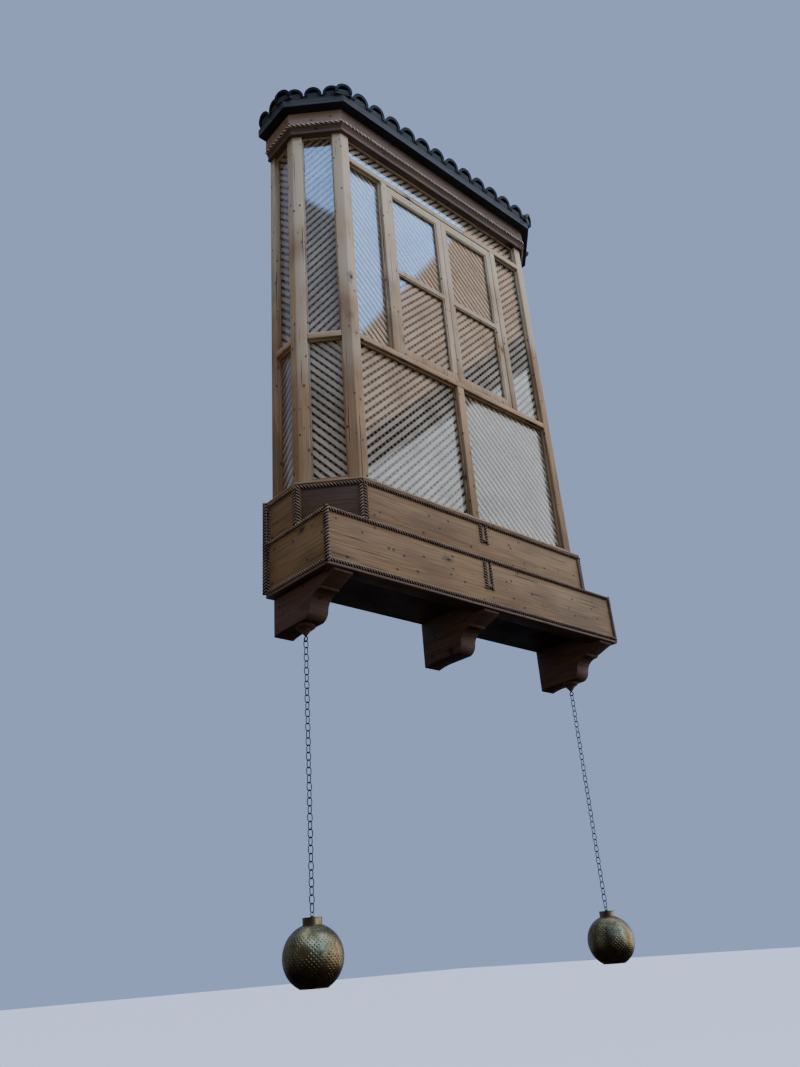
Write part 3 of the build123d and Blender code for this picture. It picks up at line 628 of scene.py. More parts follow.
def plan_line(offset):
    """Corners of the canted plan, moved outwards by offset, from one back edge to the other."""
    side = HALF_WIDTH + offset
    corner_y = -(DEPTH - CANT_RUN) - offset * MITRE
    front_x = HALF_WIDTH - CANT_RUN + offset * MITRE
    left = [(-side, 0), (-side, corner_y), (-front_x, -DEPTH - offset)]
    right = [(-x, y) for x, y in reversed(left)]
    return [Vector((x, y, 0)) for x, y in left + right]


def square_line(offset):
    """Corners of the square plan of the lower tier, moved outwards by offset."""
    side, front = HALF_WIDTH + offset, -DEPTH - offset
    corners = ((-side, 0), (-side, front), (side, front), (side, 0))
    return [Vector((x, y, 0)) for x, y in corners]


def facet_line(line, facet):
    """Start, end, direction along and outward direction of one facet of a plan line."""
    start, end = line[facet], line[facet + 1]
    along = (end - start).normalized()
    return start, end, along, along.cross(UP)


def mitred(name, profile, line, finish, nodes=()):
    """A moulding of one profile, points of offset and height, run round a plan with mitres."""
    rings = []
    for corner in range(len(line(0))):
        rings.append([line(offset)[corner] + UP * height for offset, height in profile])
    piece = place_piece(name, skin(name, rings, caps=True), "bay", finish, smooth=30)
    if nodes:
        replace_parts(piece, *nodes)
    return piece


def arc(centre_offset, centre_height, radius, start, end, steps=6):
    """Profile points round part of a circle, with angles in degrees from outwards to upwards."""
    points = []
    for n in range(steps + 1):
        turn = radians(start + (end - start) * n / steps)
        points.append((centre_offset + radius * cos(turn), centre_height + radius * sin(turn)))
    return points


# Growing pieces with Geometry Nodes

def growing_tree(name, sizes):
    """A Geometry Nodes tree with a geometry input, named sizes and a finish."""
    tree = bpy.data.node_groups.new(name, "GeometryNodeTree")
    tree.interface.new_socket("Geometry", in_out="OUTPUT", socket_type="NodeSocketGeometry")
    tree.interface.new_socket("Geometry", in_out="INPUT", socket_type="NodeSocketGeometry")
    for label, kind in sizes.items():
        tree.interface.new_socket(label, in_out="INPUT", socket_type="NodeSocket" + kind)
    tree.interface.new_socket("Finish", in_out="INPUT", socket_type="NodeSocketMaterial")
    return tree, add(tree, "NodeGroupInput")


def finish_tree(tree, given, geometry):
    """Ends a tree: real geometry with its finish."""
    real = add(tree, "GeometryNodeRealizeInstances", {"Geometry": geometry})[0]
    painted = add(tree, "GeometryNodeSetMaterial", {"Geometry": real, "Material": given["Finish"]})
    add(tree, "NodeGroupOutput", {"Geometry": painted[0]})


def grown(name, start, tree, body, smooth, **values):
    """Runs a tree on a mesh or curve and keeps the result as a plain mesh."""
    seed = show(name + "_seed", start)
    growth = seed.modifiers.new("growth", "NODES")
    growth.node_group = tree
    inputs = [item for item in tree.interface.items_tree if item.in_out == "INPUT"]
    sockets = {item.name: item.identifier for item in inputs}
    for label, value in values.items():
        growth[sockets[label.replace("_", " ")]] = value
    seed.update_tag()
    graph = bpy.context.evaluated_depsgraph_get()
    mesh = bpy.data.meshes.new_from_object(seed.evaluated_get(graph), depsgraph=graph)
    mesh.name = name
    bpy.data.objects.remove(seed)
    return place_piece(name, mesh, body, values["Finish"], smooth)


def rope_tree():
    """Twists a lobed section along each run, and stores how high each point stands."""
    sizes = {size: "Float" for size in ("Radius", "Strands", "Lead", "Groove", "Step")}
    tree, given = growing_tree("twisted_rope", sizes)
    length = {"Curve": given["Geometry"], "Length": given["Step"]}
    run = add(tree, "GeometryNodeResampleCurve", length, mode="LENGTH")[0]
    travelled = add(tree, "GeometryNodeSplineParameter")["Length"]
    whole = add(tree, "Math", {0: travelled, 1: 2 * pi}, operation="MULTIPLY")[0]
    turn = add(tree, "Math", {0: whole, 1: given["Lead"]}, operation="DIVIDE")[0]
    twisted = add(tree, "GeometryNodeSetCurveTilt", {"Curve": run, "Tilt": turn})[0]
    round_section = {"Resolution": SECTION_POINTS, "Radius": given["Radius"]}
    circle = add(tree, "GeometryNodeCurvePrimitiveCircle", round_section)[0]
    place = add(tree, "GeometryNodeInputPosition")[0]
    parts = add(tree, "SeparateXYZ", {0: place})
    angle = add(tree, "Math", {0: parts[1], 1: parts[0]}, operation="ARCTAN2")[0]
    lobes = add(tree, "Math", {0: angle, 1: given["Strands"]}, operation="MULTIPLY")[0]
    wave = add(tree, "Math", {0: lobes}, operation="COSINE")[0]
    crest = add(tree, "Math", {0: wave, 1: 0.5, 2: 0.5}, operation="MULTIPLY_ADD")[0]
    lower = add(tree, "Math", {0: crest, 1: 1.0}, operation="SUBTRACT")[0]
    groove = {0: lower, 1: given["Groove"], 2: 1.0}
    share = add(tree, "Math", groove, operation="MULTIPLY_ADD")[0]
    scaled = add(tree, "VectorMath", {0: place, "Scale": share}, operation="SCALE")[0]
    stored = {"Geometry": circle, "Name": "crest", "Value": crest}
    per_point = {"data_type": "FLOAT", "domain": "POINT"}
    marked = add(tree, "GeometryNodeStoreNamedAttribute", stored, **per_point)[0]
    moved = {"Geometry": marked, "Position": scaled}
    lobed = add(tree, "GeometryNodeSetPosition", moved)[0]
    swept = {"Curve": twisted, "Profile Curve": lobed, "Fill Caps": True}
    finish_tree(tree, given, add(tree, "GeometryNodeCurveToMesh", swept)[0])
    return tree


def copies_tree():
    """Sets copies of one piece on points that carry a turn and a size, each a little off."""
    sizes = {"Piece": "Object", "Tilt Spread": "Float", "Seed": "Int"}
    tree, given = growing_tree("set_copies", sizes)
    piece = add(tree, "GeometryNodeObjectInfo", {"Object": given["Piece"]})["Geometry"]
    vector = {"data_type": "FLOAT_VECTOR"}
    turn = add(tree, "GeometryNodeInputNamedAttribute", {"Name": "turn"}, **vector)[0]
    size = add(tree, "GeometryNodeInputNamedAttribute", {"Name": "size"}, **vector)[0]
    most = given["Tilt Spread"]
    least = add(tree, "Math", {0: most, 1: -1.0}, operation="MULTIPLY")[0]
    spread = {0: least, 1: most, "Seed": given["Seed"]}
    tilt = add(tree, "FunctionNodeRandomValue", spread, **vector)[0]
    placed = {"Points": given["Geometry"], "Instance": piece, "Rotation": turn, "Scale": size}
    copies = add(tree, "GeometryNodeInstanceOnPoints", placed)[0]
    tilted = {"Instances": copies, "Rotation": tilt}
    finish_tree(tree, given, add(tree, "GeometryNodeRotateInstances", tilted)[0])
    return tree


def chain_tree():
    """Hangs a number of links down from a point, each turned a quarter from the one above."""
    sizes = {"Link": "Object", "Links": "Int", "Top": "Vector", "Pitch": "Float"}
    tree, given = growing_tree("hanging_chain", sizes)
    link = add(tree, "GeometryNodeObjectInfo", {"Object": given["Link"]})["Geometry"]
    down = add(tree, "Math", {0: given["Pitch"], 1: -1.0}, operation="MULTIPLY")[0]
    offset = add(tree, "CombineXYZ", {"Z": down})[0]
    line = {"Count": given["Links"], "Start Location": given["Top"], "Offset": offset}
    points = add(tree, "GeometryNodeMeshLine", line)[0]
    index = add(tree, "GeometryNodeInputIndex")[0]
    odd = add(tree, "Math", {0: index, 1: 2.0}, operation="MODULO")[0]
    quarter = add(tree, "Math", {0: odd, 1: pi / 2}, operation="MULTIPLY")[0]
    turn = add(tree, "CombineXYZ", {"Z": quarter})[0]
    placed = {"Points": points, "Instance": link, "Rotation": turn}
    finish_tree(tree, given, add(tree, "GeometryNodeInstanceOnPoints", placed)[0])
    return tree


ROPES, COPIES, CHAINS = rope_tree(), copies_tree(), chain_tree()


def rope(name, runs, radius, finish, left_laid=False, nodes=(),
         spacing=STRAND_SPACING, strands=ROPE_STRANDS):
    """Twisted rope along straight runs, each a start and an end."""
    curve = bpy.data.curves.new(name + "_runs", "CURVE")
    curve.dimensions = "3D"
    for ends in runs:
        spline = curve.splines.new("POLY")
        spline.points.add(1)
        for point, end in zip(spline.points, ends):
            point.co = (*end, 1)
    sizes = {"Radius": radius, "Strands": float(strands), "Groove": GROOVE_SHARE}
    sizes["Step"] = spacing / STEPS_A_STRAND
    sizes["Lead"] = spacing * strands * (-1 if left_laid else 1)
    piece = grown(name, curve, ROPES, "bay", 50, Finish=finish, **sizes)
    if nodes:
        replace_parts(piece, *nodes)
    return piece


def copies(name, source_mesh, places, finish, spread=0.0, seed=1):
    """Copies of a mesh at places, each a point, three axes and a size."""
    points = mesh_of(name + "_places", [tuple(place[0]) for place in places], [])
    turns = points.attributes.new("turn", "FLOAT_VECTOR", "POINT")
    sizes = points.attributes.new("size", "FLOAT_VECTOR", "POINT")
    for n, (point, axes, size) in enumerate(places):
        turns.data[n].vector = Matrix(axes).transposed().to_euler()
        sizes.data[n].vector = size
    source = show(name + "_source", source_mesh)
    values = {"Piece": source, "Tilt_Spread": spread, "Seed": seed, "Finish": finish}
    piece = grown(name, points, COPIES, "bay", 40, **values)
    bpy.data.objects.remove(source)
    return piece


# Boards, posts and rails

def joinery():
    """Posts, rails, sashes, aprons and brackets with eased arrises, and what needs no reshaping."""
    for node in ("corner_post_left", "corner_post_right", "front_post_left", "front_post_right"):
        eased(node, POST_PINE, POST_ARRIS)
    for node in ("wall_posts", "mullions", "casement_sash_left", "casement_sash_right"):
        eased(node, POST_PINE)
    for node in ("bottom_rails", "mid_rails", "transom_rail"):
        eased(node, RAIL_PINE)
    for vertex in eased("head_rails", MOULDING_PINE).data.vertices:
        if vertex.co.z < head_low.z + HEAD_HALF:
            vertex.co.z += HEAD_RISE
    eased("lower_apron", BOARD_PINE, BOARD_ARRIS)
    # The canted faces of the upper apron take a painted shade, and the edges of the eave are
    # finished apart
    upper = eased("upper_apron", BOARD_PINE, BOARD_ARRIS)
    repaint_faces(upper, SHADED_CANT_PINE, lambda out: 0.5 < abs(out.x) < 0.9 and out.y < -0.5)
    eave = eased("eave_board", TARRED_PINE, BOARD_ARRIS)
    repaint_faces(eave, EDGE_PINE, lambda out: abs(out.z) < 0.8)
    eased("skirt_boards", MOULDING_PINE, BOARD_ARRIS)
    for side in ("left", "centre", "right"):
        eased(f"bracket_{side}", DARK_PINE, POST_ARRIS)
    heightened("glazing_beads", POST_PINE)
    repaint("floor_board", DARK_PINE)
    repaint("corner_ledges", BOARD_PINE)
    repaint("bracket_drops", DARK_PINE)
    repaint("hook_eyes", IRON)
    repaint("roof_bed", BED_MORTAR)
    for node in PANE_NODES:
        heightened(node, GLASS)
    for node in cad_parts:
        if node.startswith("lattice"):
            repaint(node, SLAT_WOOD)


def mouldings():
    """The rounded sill cap, and the fascia: a board over a cove with a bead at its foot.

    Their profiles are points of offset and height in metres.
    """
    top, bottom = cap_high.z, cap_low.z
    nose = (top - bottom) / 2
    edge = cap_high.x - HALF_WIDTH
    cap = arc(edge - nose, bottom + nose, nose, -90, 90)
    cap = [(edge - CAP_TAIL, bottom)] + cap + [(edge - CAP_TAIL, top)]
    mitred("sill_cap_rounded", cap, plan_line, RAIL_PINE, ["sill_cap"])

    low, high = fascia_low.z, fascia_high.z
    step = low + FASCIA_STEP_HEIGHT
    board = [(FASCIA_BACK, step), (-0.002, step)] + arc(-0.003, step + 0.003, 0.003, -60, 0, 2)
    board += [(0.0, high), (FASCIA_BACK, high)]
    board = mitred("fascia_board", board, plan_line, LIT_FASCIA_PINE)
    # The board's front face is darkened: painted shade under the eave
    repaint_faces(board, MOULDING_PINE, lambda out: out.y < -0.9)
    cove = [(FASCIA_BACK, low), (-0.014, low)] + arc(-0.017, low + 0.005, 0.005, -60, 90, 4)
    cove += [(-0.017, low + 0.014)] + arc(-0.004, low + 0.030, 0.014, 220, 130, 5)
    cove += [(-0.008, step - 0.004), (-0.004, step), (FASCIA_BACK, step)]
    mitred("fascia_cove", cove, plan_line, MOULDING_PINE, ["fascia"])


def rope_mouldings():
    """Carved ropes round both tiers and up the back edges, and the bead on the fascia."""
    top = apron_high.z - ROPE_RADIUS
    upright_top = top - ROPE_RADIUS * UPRIGHT_STOP
    level, left_hand, right_hand, corners, back_edges, beads = [], [], [], [], [], []
    bead_height = fascia_low.z + FASCIA_STEP_HEIGHT + BEAD_RADIUS
    for facet in FACETS:
        start, end, along, out = facet_line(plan_line(0), facet)
        past = along * ROPE_RADIUS * LEVEL_OVERRUN
        first, last = start - past * (facet > 0), end + past * (facet < LAST)
        level.append((first + UP * top, last + UP * top))
        beads.append((start + UP * bead_height, end + UP * bead_height))
        inset = along * ROPE_RADIUS
        for runs, corner in ((left_hand, start + inset), (right_hand, end - inset)):
            runs.append((corner + UP * apron_low.z, corner + UP * upright_top))
    tabs = (
        (top - ROPE_RADIUS, UPPER_TAB_DROP),
        (lower_high.z - 2 * ROPE_RADIUS, LOWER_TAB_DROP),
    )
    front, half_tab = Vector((0, -DEPTH, 0)), Vector((TAB_HALF_WIDTH, 0, 0))
    for tab_top, drop in tabs:
        for runs, side in ((left_hand, front - half_tab), (right_hand, front + half_tab)):
            runs.append((side + UP * (tab_top - drop), side + UP * tab_top))
        bar = front + UP * (tab_top - drop + ROPE_RADIUS)
        level.append((bar - half_tab, bar + half_tab))
    for facet in range(3):
        start, end, along, out = facet_line(square_line(0), facet)
        for height in (lower_high.z - ROPE_RADIUS, lower_low.z + ROPE_RADIUS):
            level.append((start + UP * height, end + UP * height))
        if facet < 2:
            corners.append((end + UP * lower_low.z, end + UP * lower_high.z))
    for side in (-1, 1):
        edge = Vector((side * HALF_WIDTH, -ROPE_RADIUS, 0))
        left_hand.append((edge + UP * lower_low.z, edge + UP * lower_high.z))
        edge.x += side * EDGE_ROPE_OFFSET
        back_edges.append((edge + UP * lower_low.z, edge + UP * apron_high.z))
    rope("rope_level_runs", level, ROPE_RADIUS, ROPE_WOOD, nodes=["rope_upper", "rope_lower"])
    rope("rope_wall_edges", back_edges, EDGE_ROPE_RADIUS, ROPE_WOOD)
    rope("rope_upright_runs_left", left_hand, ROPE_RADIUS, ROPE_WOOD, left_laid=True)
    rope("rope_upright_runs_right", right_hand, ROPE_RADIUS, ROPE_WOOD)
    rope("rope_square_corners", corners, THICK_ROPE_RADIUS, ROPE_WOOD)
    lay = {"spacing": BEAD_STRAND_SPACING, "strands": BEAD_STRANDS}
    rope("fascia_rope_bead", beads, BEAD_RADIUS, BEAD_WOOD, **lay, nodes=["fascia_bead"])


# Lattice: the slats behind, which cross those of the frame

OUTWARDS = [facet_line(plan_line(0), facet)[3] for facet in FACETS]


def islands(node):
    """The separate solids of a CAD node, each as a list of its points."""
    work = merged(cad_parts[node].data)
    seen, found = set(), []
    for first in work.verts:
        if first in seen:
            continue
        group, queue = [], [first]
        seen.add(first)
        while queue:
            vertex = queue.pop()
            group.append(vertex.co.copy())
            for edge in vertex.link_edges:
                other = edge.other_vert(vertex)
                if other not in seen:
                    seen.add(other)
                    queue.append(other)
        found.append(group)
    work.free()
    return found


def middle(points):
    """Average of some points."""
    return sum(points, Vector()) / len(points)


def extent(points, direction):
    """How far some points reach back and forward in a direction."""
    reach = [point.dot(direction) for point in points]
    return min(reach), max(reach)


def panes():
    """Each pane of glass as its outward direction, its range along and up, and its back face."""
    found = []
    for node in PANE_NODES:
        for points in islands(node):
            spans = [extent(points, direction) for direction in OUTWARDS]
            out = min(zip(OUTWARDS, spans), key=lambda pair: pair[1][1] - pair[1][0])[0]
            along = UP.cross(out)
            ranges = [extent(points, direction) for direction in (along, UP, out)]
            found.append((out, along, *ranges[:2], ranges[2][0]))
    return found


def slats_of(pane, slats):
    """Those of the front slats that stand behind a pane."""
    out, along, (left, right), (low, high), back = pane
    found = []
    for points in slats:
        centre = middle(points)
        near = abs(centre.dot(out) - back) < PANE_REACH
        if near and left < centre.dot(along) < right and low < centre.z < high:
            found.append(points)
    return found


def slat_lean(pane, slats):
    """1 where the front slats of a pane rise along it, and -1 where they fall."""
    along = pane[1]
    total = 0
    for points in slats_of(pane, slats):
        centre = middle(points)
        level = centre.dot(along)
        total += sum((point.dot(along) - level) * (point.z - centre.z) for point in points)
    return 1 if total > 0 else -1


def clipped(outline, pane_low, pane_high):
    """A slat's outline cut to a pane, both in the pane's plane."""
    for axis in (0, 1):
        for limit, side in ((pane_low[axis], 1), (pane_high[axis], -1)):
            kept = []
            for n, point in enumerate(outline):
                previous = outline[n - 1]
                inside = (point[axis] - limit) * side >= 0
                was_inside = (previous[axis] - limit) * side >= 0
                if inside != was_inside:
                    share = (limit - previous[axis]) / (point[axis] - previous[axis])
                    kept.append(previous.lerp(point, share))
                if inside:
                    kept.append(point)
            outline = kept
    return outline


class Slats:
    """Flat slats, each cut to a pane, gathered into one piece."""

    def __init__(self):
        self.vertices, self.faces = [], []

    def add(self, pane, anchor, direction, reach, low, high, outer, thickness):
        """A slat through an anchor in the plane of a pane, cut to two corners of it."""
        out, along = pane[:2]
        across = Vector((-direction.y, direction.x)) * SLAT_WIDTH / 2
        run = direction * reach
        outline = [anchor - run - across, anchor + run - across, anchor + run + across]
        outline = clipped(outline + [anchor - run + across], low, high)
        first, size = len(self.vertices), len(outline)
        if size < 3:
            return
        for depth in (outer, outer - thickness):
            self.vertices += [along * p.x + UP * p.y + out * depth for p in outline]
        self.faces.append(tuple(range(first, first + size)))
        self.faces.append(tuple(range(first + size, first + 2 * size))[::-1])
        for m in range(size):
            n = (m + 1) % size
            self.faces.append((first + m, first + m + size, first + n + size, first + n))

    def place(self, name, finish):
        """Puts the slats in the scene."""
        place_piece(name, outward(mesh_of(name, self.vertices, self.faces)), "bay", finish)


def lattice_heads(front):
    """The front slats carried on up behind the fascia, in line with those of the frame."""
    slats = Slats()
    for pane in panes():
        out, along, width, (low, high), back = pane
        if high < head_low.z - HEAD_REACH:
            continue
        near = slats_of(pane, front)
        direction = Vector((1, slat_lean(pane, near))).normalized()
        normal = Vector((-direction.y, direction.x))
        lines = []
        for points in near:
            start, end = extent(points, along * normal.x + UP * normal.y)
            if end - start > SLAT_WIDTH * WHOLE_SLAT_SHARE:
                lines.append((start + end) / 2)
        lines.sort()
        gaps = sorted(after - before for before, after in zip(lines, lines[1:]))
        pitch = gaps[len(gaps) // 2]
        before = [lines[0] - 2 * pitch, lines[0] - pitch]
        after = [lines[-1] + pitch, lines[-1] + 2 * pitch]
        everything = [point for points in near for point in points]
        left, right = extent(everything, along)
        inner, outer = extent(everything, out)
        top = extent(everything, UP)[1]
        for line in before + lines + after:
            anchor = normal * line
            anchor += direction * ((top - anchor.y) / direction.y)
            corners = (left, top), (right, top + HEAD_RISE)
            slats.add(pane, anchor, direction, SLAT_REACH, *corners, outer, outer - inner)
    slats.place("lattice_head_slats", SLAT_WOOD)


def back_lattice():
    """Slats that cross behind the frame's slats in every pane."""
    lattices = [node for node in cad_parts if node.startswith("lattice")]
    front = [points for node in lattices for points in islands(node)]
    lattice_heads(front)
    slats = Slats()
    for pane in panes():
        out, along, (left, right), (low, high), back = pane
        if high > head_low.z - HEAD_REACH:
            high += HEAD_RISE
        lean = -slat_lean(pane, front)
        centre = Vector(((left + right) / 2, (low + high) / 2))
        reach = (right - left) + (high - low)
        count = round(reach / SLAT_PITCH)
        direction = Vector((1, lean)).normalized()
        outer = back - BACK_SLAT_OFFSET
        for n in range(count):
            shift = (reach / count * (n + 0.5) - reach / 2) / 2
            anchor = centre + Vector((shift, -lean * shift))
            corners = (left, low), (right, high)
            slats.add(pane, anchor, direction, reach, *corners, outer, SLAT_THICKNESS)
    # The back slats take the darker slat colour: painted shade
    slats.place("lattice_back_slats", SHADED_SLAT_WOOD)


# Roof

def barrel_tile():
    """A tapered half barrel, open below, that lies along +Y with its crest up."""
    rings = []
    for share, y in ((1.0, 0.0), (1.0, TILE_LIP), (TILE_TAPER, TILE_LENGTH)):
        outer, inner = [], []
        for n in range(TILE_STEPS + 1):
            turn = pi / 2 + TILE_HALF_TURN * (2 * n / TILE_STEPS - 1)
            direction = Vector((cos(turn), 0, sin(turn)))
            place, radius = Vector((0, y, 0)), TILE_RADIUS * share
            outer.append(direction * radius + place)
            inner.append(direction * (radius - TILE_WALL) + place)
        rings.append(outer + inner[::-1])
    return skin("barrel_tile", rings, caps=True)


def end_fill():
    """A wave of mortar under a cover tile's mouth: it fills the lower half of the arch."""
    half, inner = TILE_RADIUS * FILL_SPREAD, TILE_RADIUS - TILE_WALL
    outline = [(-half, -FILL_FOOT), (half, -FILL_FOOT), (half, FILL_BRIM)]
    for n in range(1, TILE_STEPS):
        turn = pi * n / TILE_STEPS
        crest = FILL_CREST + FILL_WAVE * sin(3 * turn)
        outline.append((inner * cos(turn) * FILL_BULGE, inner * sin(turn) * crest))
    outline.append((-half, FILL_BRIM))
    rings = []
    for y, width, rise in ((0.006, 0.98, 0.90), (0.012, 1, 1), (0.050, 1, 1)):
        rings.append([Vector((x * width, y, z * rise if z > 0 else z)) for x, z in outline])
    return skin("end_fill", rings, caps=True)


def roof():
    """Cover tiles up every slope and hip, pan tiles between them, and mortar in their ends."""
    eave = plan_line(EAVE_OVERHANG)
    covers, pans, fills = [], [], []

    def lay(rows, foot, across, uphill, length, lift=0.0, girth=1.0):
        normal = across.cross(uphill)
        count = max(1, round(length / TILE_EXPOSED))
        greying_weather_and_light = length / count
        for n in range(count):
            reach = greying_weather_and_light + (TILE_LAP if n < count - 1 else 0)
            point = foot + uphill * greying_weather_and_light * n + normal * (lift + LAP_RISE * (n > 0))
            rows.append((point, (across, uphill, normal), (girth, reach / TILE_LENGTH, girth)))

    def run_length(facet, place, width):
        reach = DEPTH + EAVE_OVERHANG
        if facet > 0:
            reach = min(reach, place / MITRE)
        if facet < LAST:
            reach = min(reach, (width - place) / MITRE)
        return reach / cos(ROOF_SLOPE)

    for facet in FACETS:
        start, end, along, out = facet_line(eave, facet)
        uphill = -out * cos(ROOF_SLOPE) + UP * sin(ROOF_SLOPE)
        width = (end - start).length
        pitch = FRONT_TILE_PITCH if facet == FRONT else SIDE_TILE_PITCH
        count = round(width / pitch - 0.5)
        step = min(pitch, (width - pitch) / (count - 1))
        places = [width / 2 + step * (n - (count - 1) / 2) for n in range(count)]
        gaps = [place - step / 2 for place in places] + [places[-1] + step / 2]
        girth = min(TILE_FILL * pitch, places[0] - TILE_MARGIN) / TILE_RADIUS
        for place in places:
            foot = start + along * place + UP * (BED_TOP + COVER_LIFT) - uphill * TILE_OVERHANG
            length = run_length(facet, place, width) + TILE_OVERHANG - TOP_GAP
            climb = (uphill * length - UP * (COVER_LIFT + COVER_SINK * length)).normalized()
            lay(covers, foot, along, climb, length, girth=girth)
            fills.append((foot, (along, uphill, along.cross(uphill)), (girth, 1, girth)))
        for place in gaps:
            length = run_length(facet, place, width)
            if length < SHORTEST_PAN or min(place, width - place) < PAN_HALF_WIDTH:
                continue
            foot = start + along * place + UP * (BED_TOP + PAN_DEPTH + PAN_LIFT)
            rows = []
            lay(rows, foot - uphill * PAN_OVERHANG, -along, uphill, length)
            for point, axes, size in rows:
                size = (PAN_HALF_WIDTH / TILE_RADIUS, size[1], PAN_DEPTH / TILE_RADIUS)
                pans.append((point, axes, size))
    for corner in range(1, 5):
        foot = eave[corner] + UP * BED_TOP
        inner = plan_line(-DEPTH / 2)[corner]
        rise = UP * tan(ROOF_SLOPE) * (DEPTH / 2 + EAVE_OVERHANG)
        hip = inner + UP * BED_TOP + rise - foot
        uphill = hip.normalized()
        across = uphill.cross(UP).normalized()
        toe = foot - uphill * TILE_OVERHANG + UP * COVER_LIFT
        climb = (hip - UP * (COVER_LIFT + COVER_SINK * hip.length)).normalized()
        lay(covers, toe, across, climb, hip.length, lift=HIP_LIFT, girth=HIP_GIRTH)
        fills.append((toe, (across, uphill, across.cross(uphill)), (1, 1, 1)))
    tiles = copies("roof_cover_tiles", barrel_tile(), covers, TILE_GLAZE, COVER_TILT, seed=3)
    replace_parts(tiles, "cover_tiles")
    copies("roof_pan_tiles", barrel_tile(), pans, TILE_GLAZE, PAN_TILT, seed=5)
    copies("roof_end_mortar", end_fill(), fills, BED_MORTAR, seed=7)


# Chains and lanterns

def wire_link(inside, inside_width, wire, bend=6, sides=8):
    """A link of round wire in the XZ plane: two straight sides and two round ends."""
    radius = inside_width / 2 + wire / 2
    straight = inside / 2 - inside_width / 2
    ends = ((0, straight), (pi, -straight))
    path = [(start + n * pi / bend, lift) for start, lift in ends for n in range(bend + 1)]
    rings = []
    for turn, lift in path:
        out = Vector((cos(turn), 0, sin(turn)))
        centre = out * radius + UP * lift
        ring = []
        for m in range(sides):
            roll = 2 * pi * m / sides
            ring.append(centre + (out * cos(roll) + Vector((0, 1, 0)) * sin(roll)) * wire / 2)
        rings.append(ring)
    return skin("wire_link", rings, joined=True)


def chains():
    """Both chains, link by link, in the place of the frame's plainer ones."""
    link = show("link_source", wire_link(LINK_INSIDE, LINK_INSIDE_WIDTH, LINK_WIRE))
    for side, count in CHAIN_LINKS.items():
        low, high = box(f"chain_{side}")
        outer = LINK_INSIDE + 2 * LINK_WIRE
        pitch = (high.z - low.z - outer) / (count - 1)
        top = Vector(((low.x + high.x) / 2, (low.y + high.y) / 2, high.z - outer / 2))
        name = f"chain_{side}_wire"
        values = {"Link": link, "Links": count, "Top": top, "Pitch": pitch, "Finish": IRON}
        start = bpy.data.meshes.new(name + "_start")
        piece = grown(name, start, CHAINS, f"lamp_{side}", 60, **values)
        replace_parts(piece, f"chain_{side}")
    bpy.data.objects.remove(link)


def pierced(column, band):
    """Whether a globe's cell is pierced: rows of lozenges between plain bands."""
    half = PATTERN_CELLS // 2
    ring = abs(column % PATTERN_CELLS - half) + abs(band % PATTERN_CELLS - half)
    return ring in (0, 2, 4) and band not in (0, GLOBE_BANDS - 1)


def globe_mesh(name, centre):
    """The pierced shell of a globe, from its mouth to its collar."""
    low_turn = atan2(MOUTH_HEIGHT, MOUTH_RADIUS)
    high_turn = atan2(COLLAR_FOOT, COLLAR_RADIUS)
    work = bmesh.new()

    def point(column, band):
        turn = 2 * pi * column / GLOBE_COLUMNS
        rise = low_turn + (high_turn - low_turn) * band / GLOBE_BANDS
        level = GLOBE_RADIUS * cos(rise)
        around = Vector((level * cos(turn), level * sin(turn), GLOBE_RADIUS * sin(rise)))
        return work.verts.new(centre + around)

    columns = range(GLOBE_COLUMNS)
    grid = [[point(column, band) for column in columns] for band in range(GLOBE_BANDS + 1)]
    for band in range(GLOBE_BANDS):
        lower, upper = grid[band], grid[band + 1]
        for column in columns:
            following = (column + 1) % GLOBE_COLUMNS
            corners = [lower[column], lower[following], upper[following], upper[column]]
            if not pierced(column, band):
                work.faces.new(corners)
                continue
            hole = []
            for n in range(8):
                turn = pi * (n + 0.5) / 4 + pi
                across, up = 0.5 + HOLE_SHARE * cos(turn), 0.5 + HOLE_SHARE * sin(turn)
                hole.append(point(column + across, band + up))
            for n in range(4):
                first, second, third = hole[2 * n], hole[2 * n + 1], hole[(2 * n + 2) % 8]
                work.faces.new([corners[n], first, second])
                work.faces.new([corners[n], second, third, corners[(n + 1) % 4]])
    bmesh.ops.recalc_face_normals(work, faces=work.faces)
    return worked(work, bpy.data.meshes.new(name))


def turned(profile, centre, sides=48):
    """A form turned on an upright axis through radii and heights."""
    rings = []
    for n in range(sides):
        turn = 2 * pi * n / sides
        ring = [centre + Vector((r * cos(turn), r * sin(turn), z)) for r, z in profile]
        rings.append(ring)
    return skin("turned", rings, joined=True)


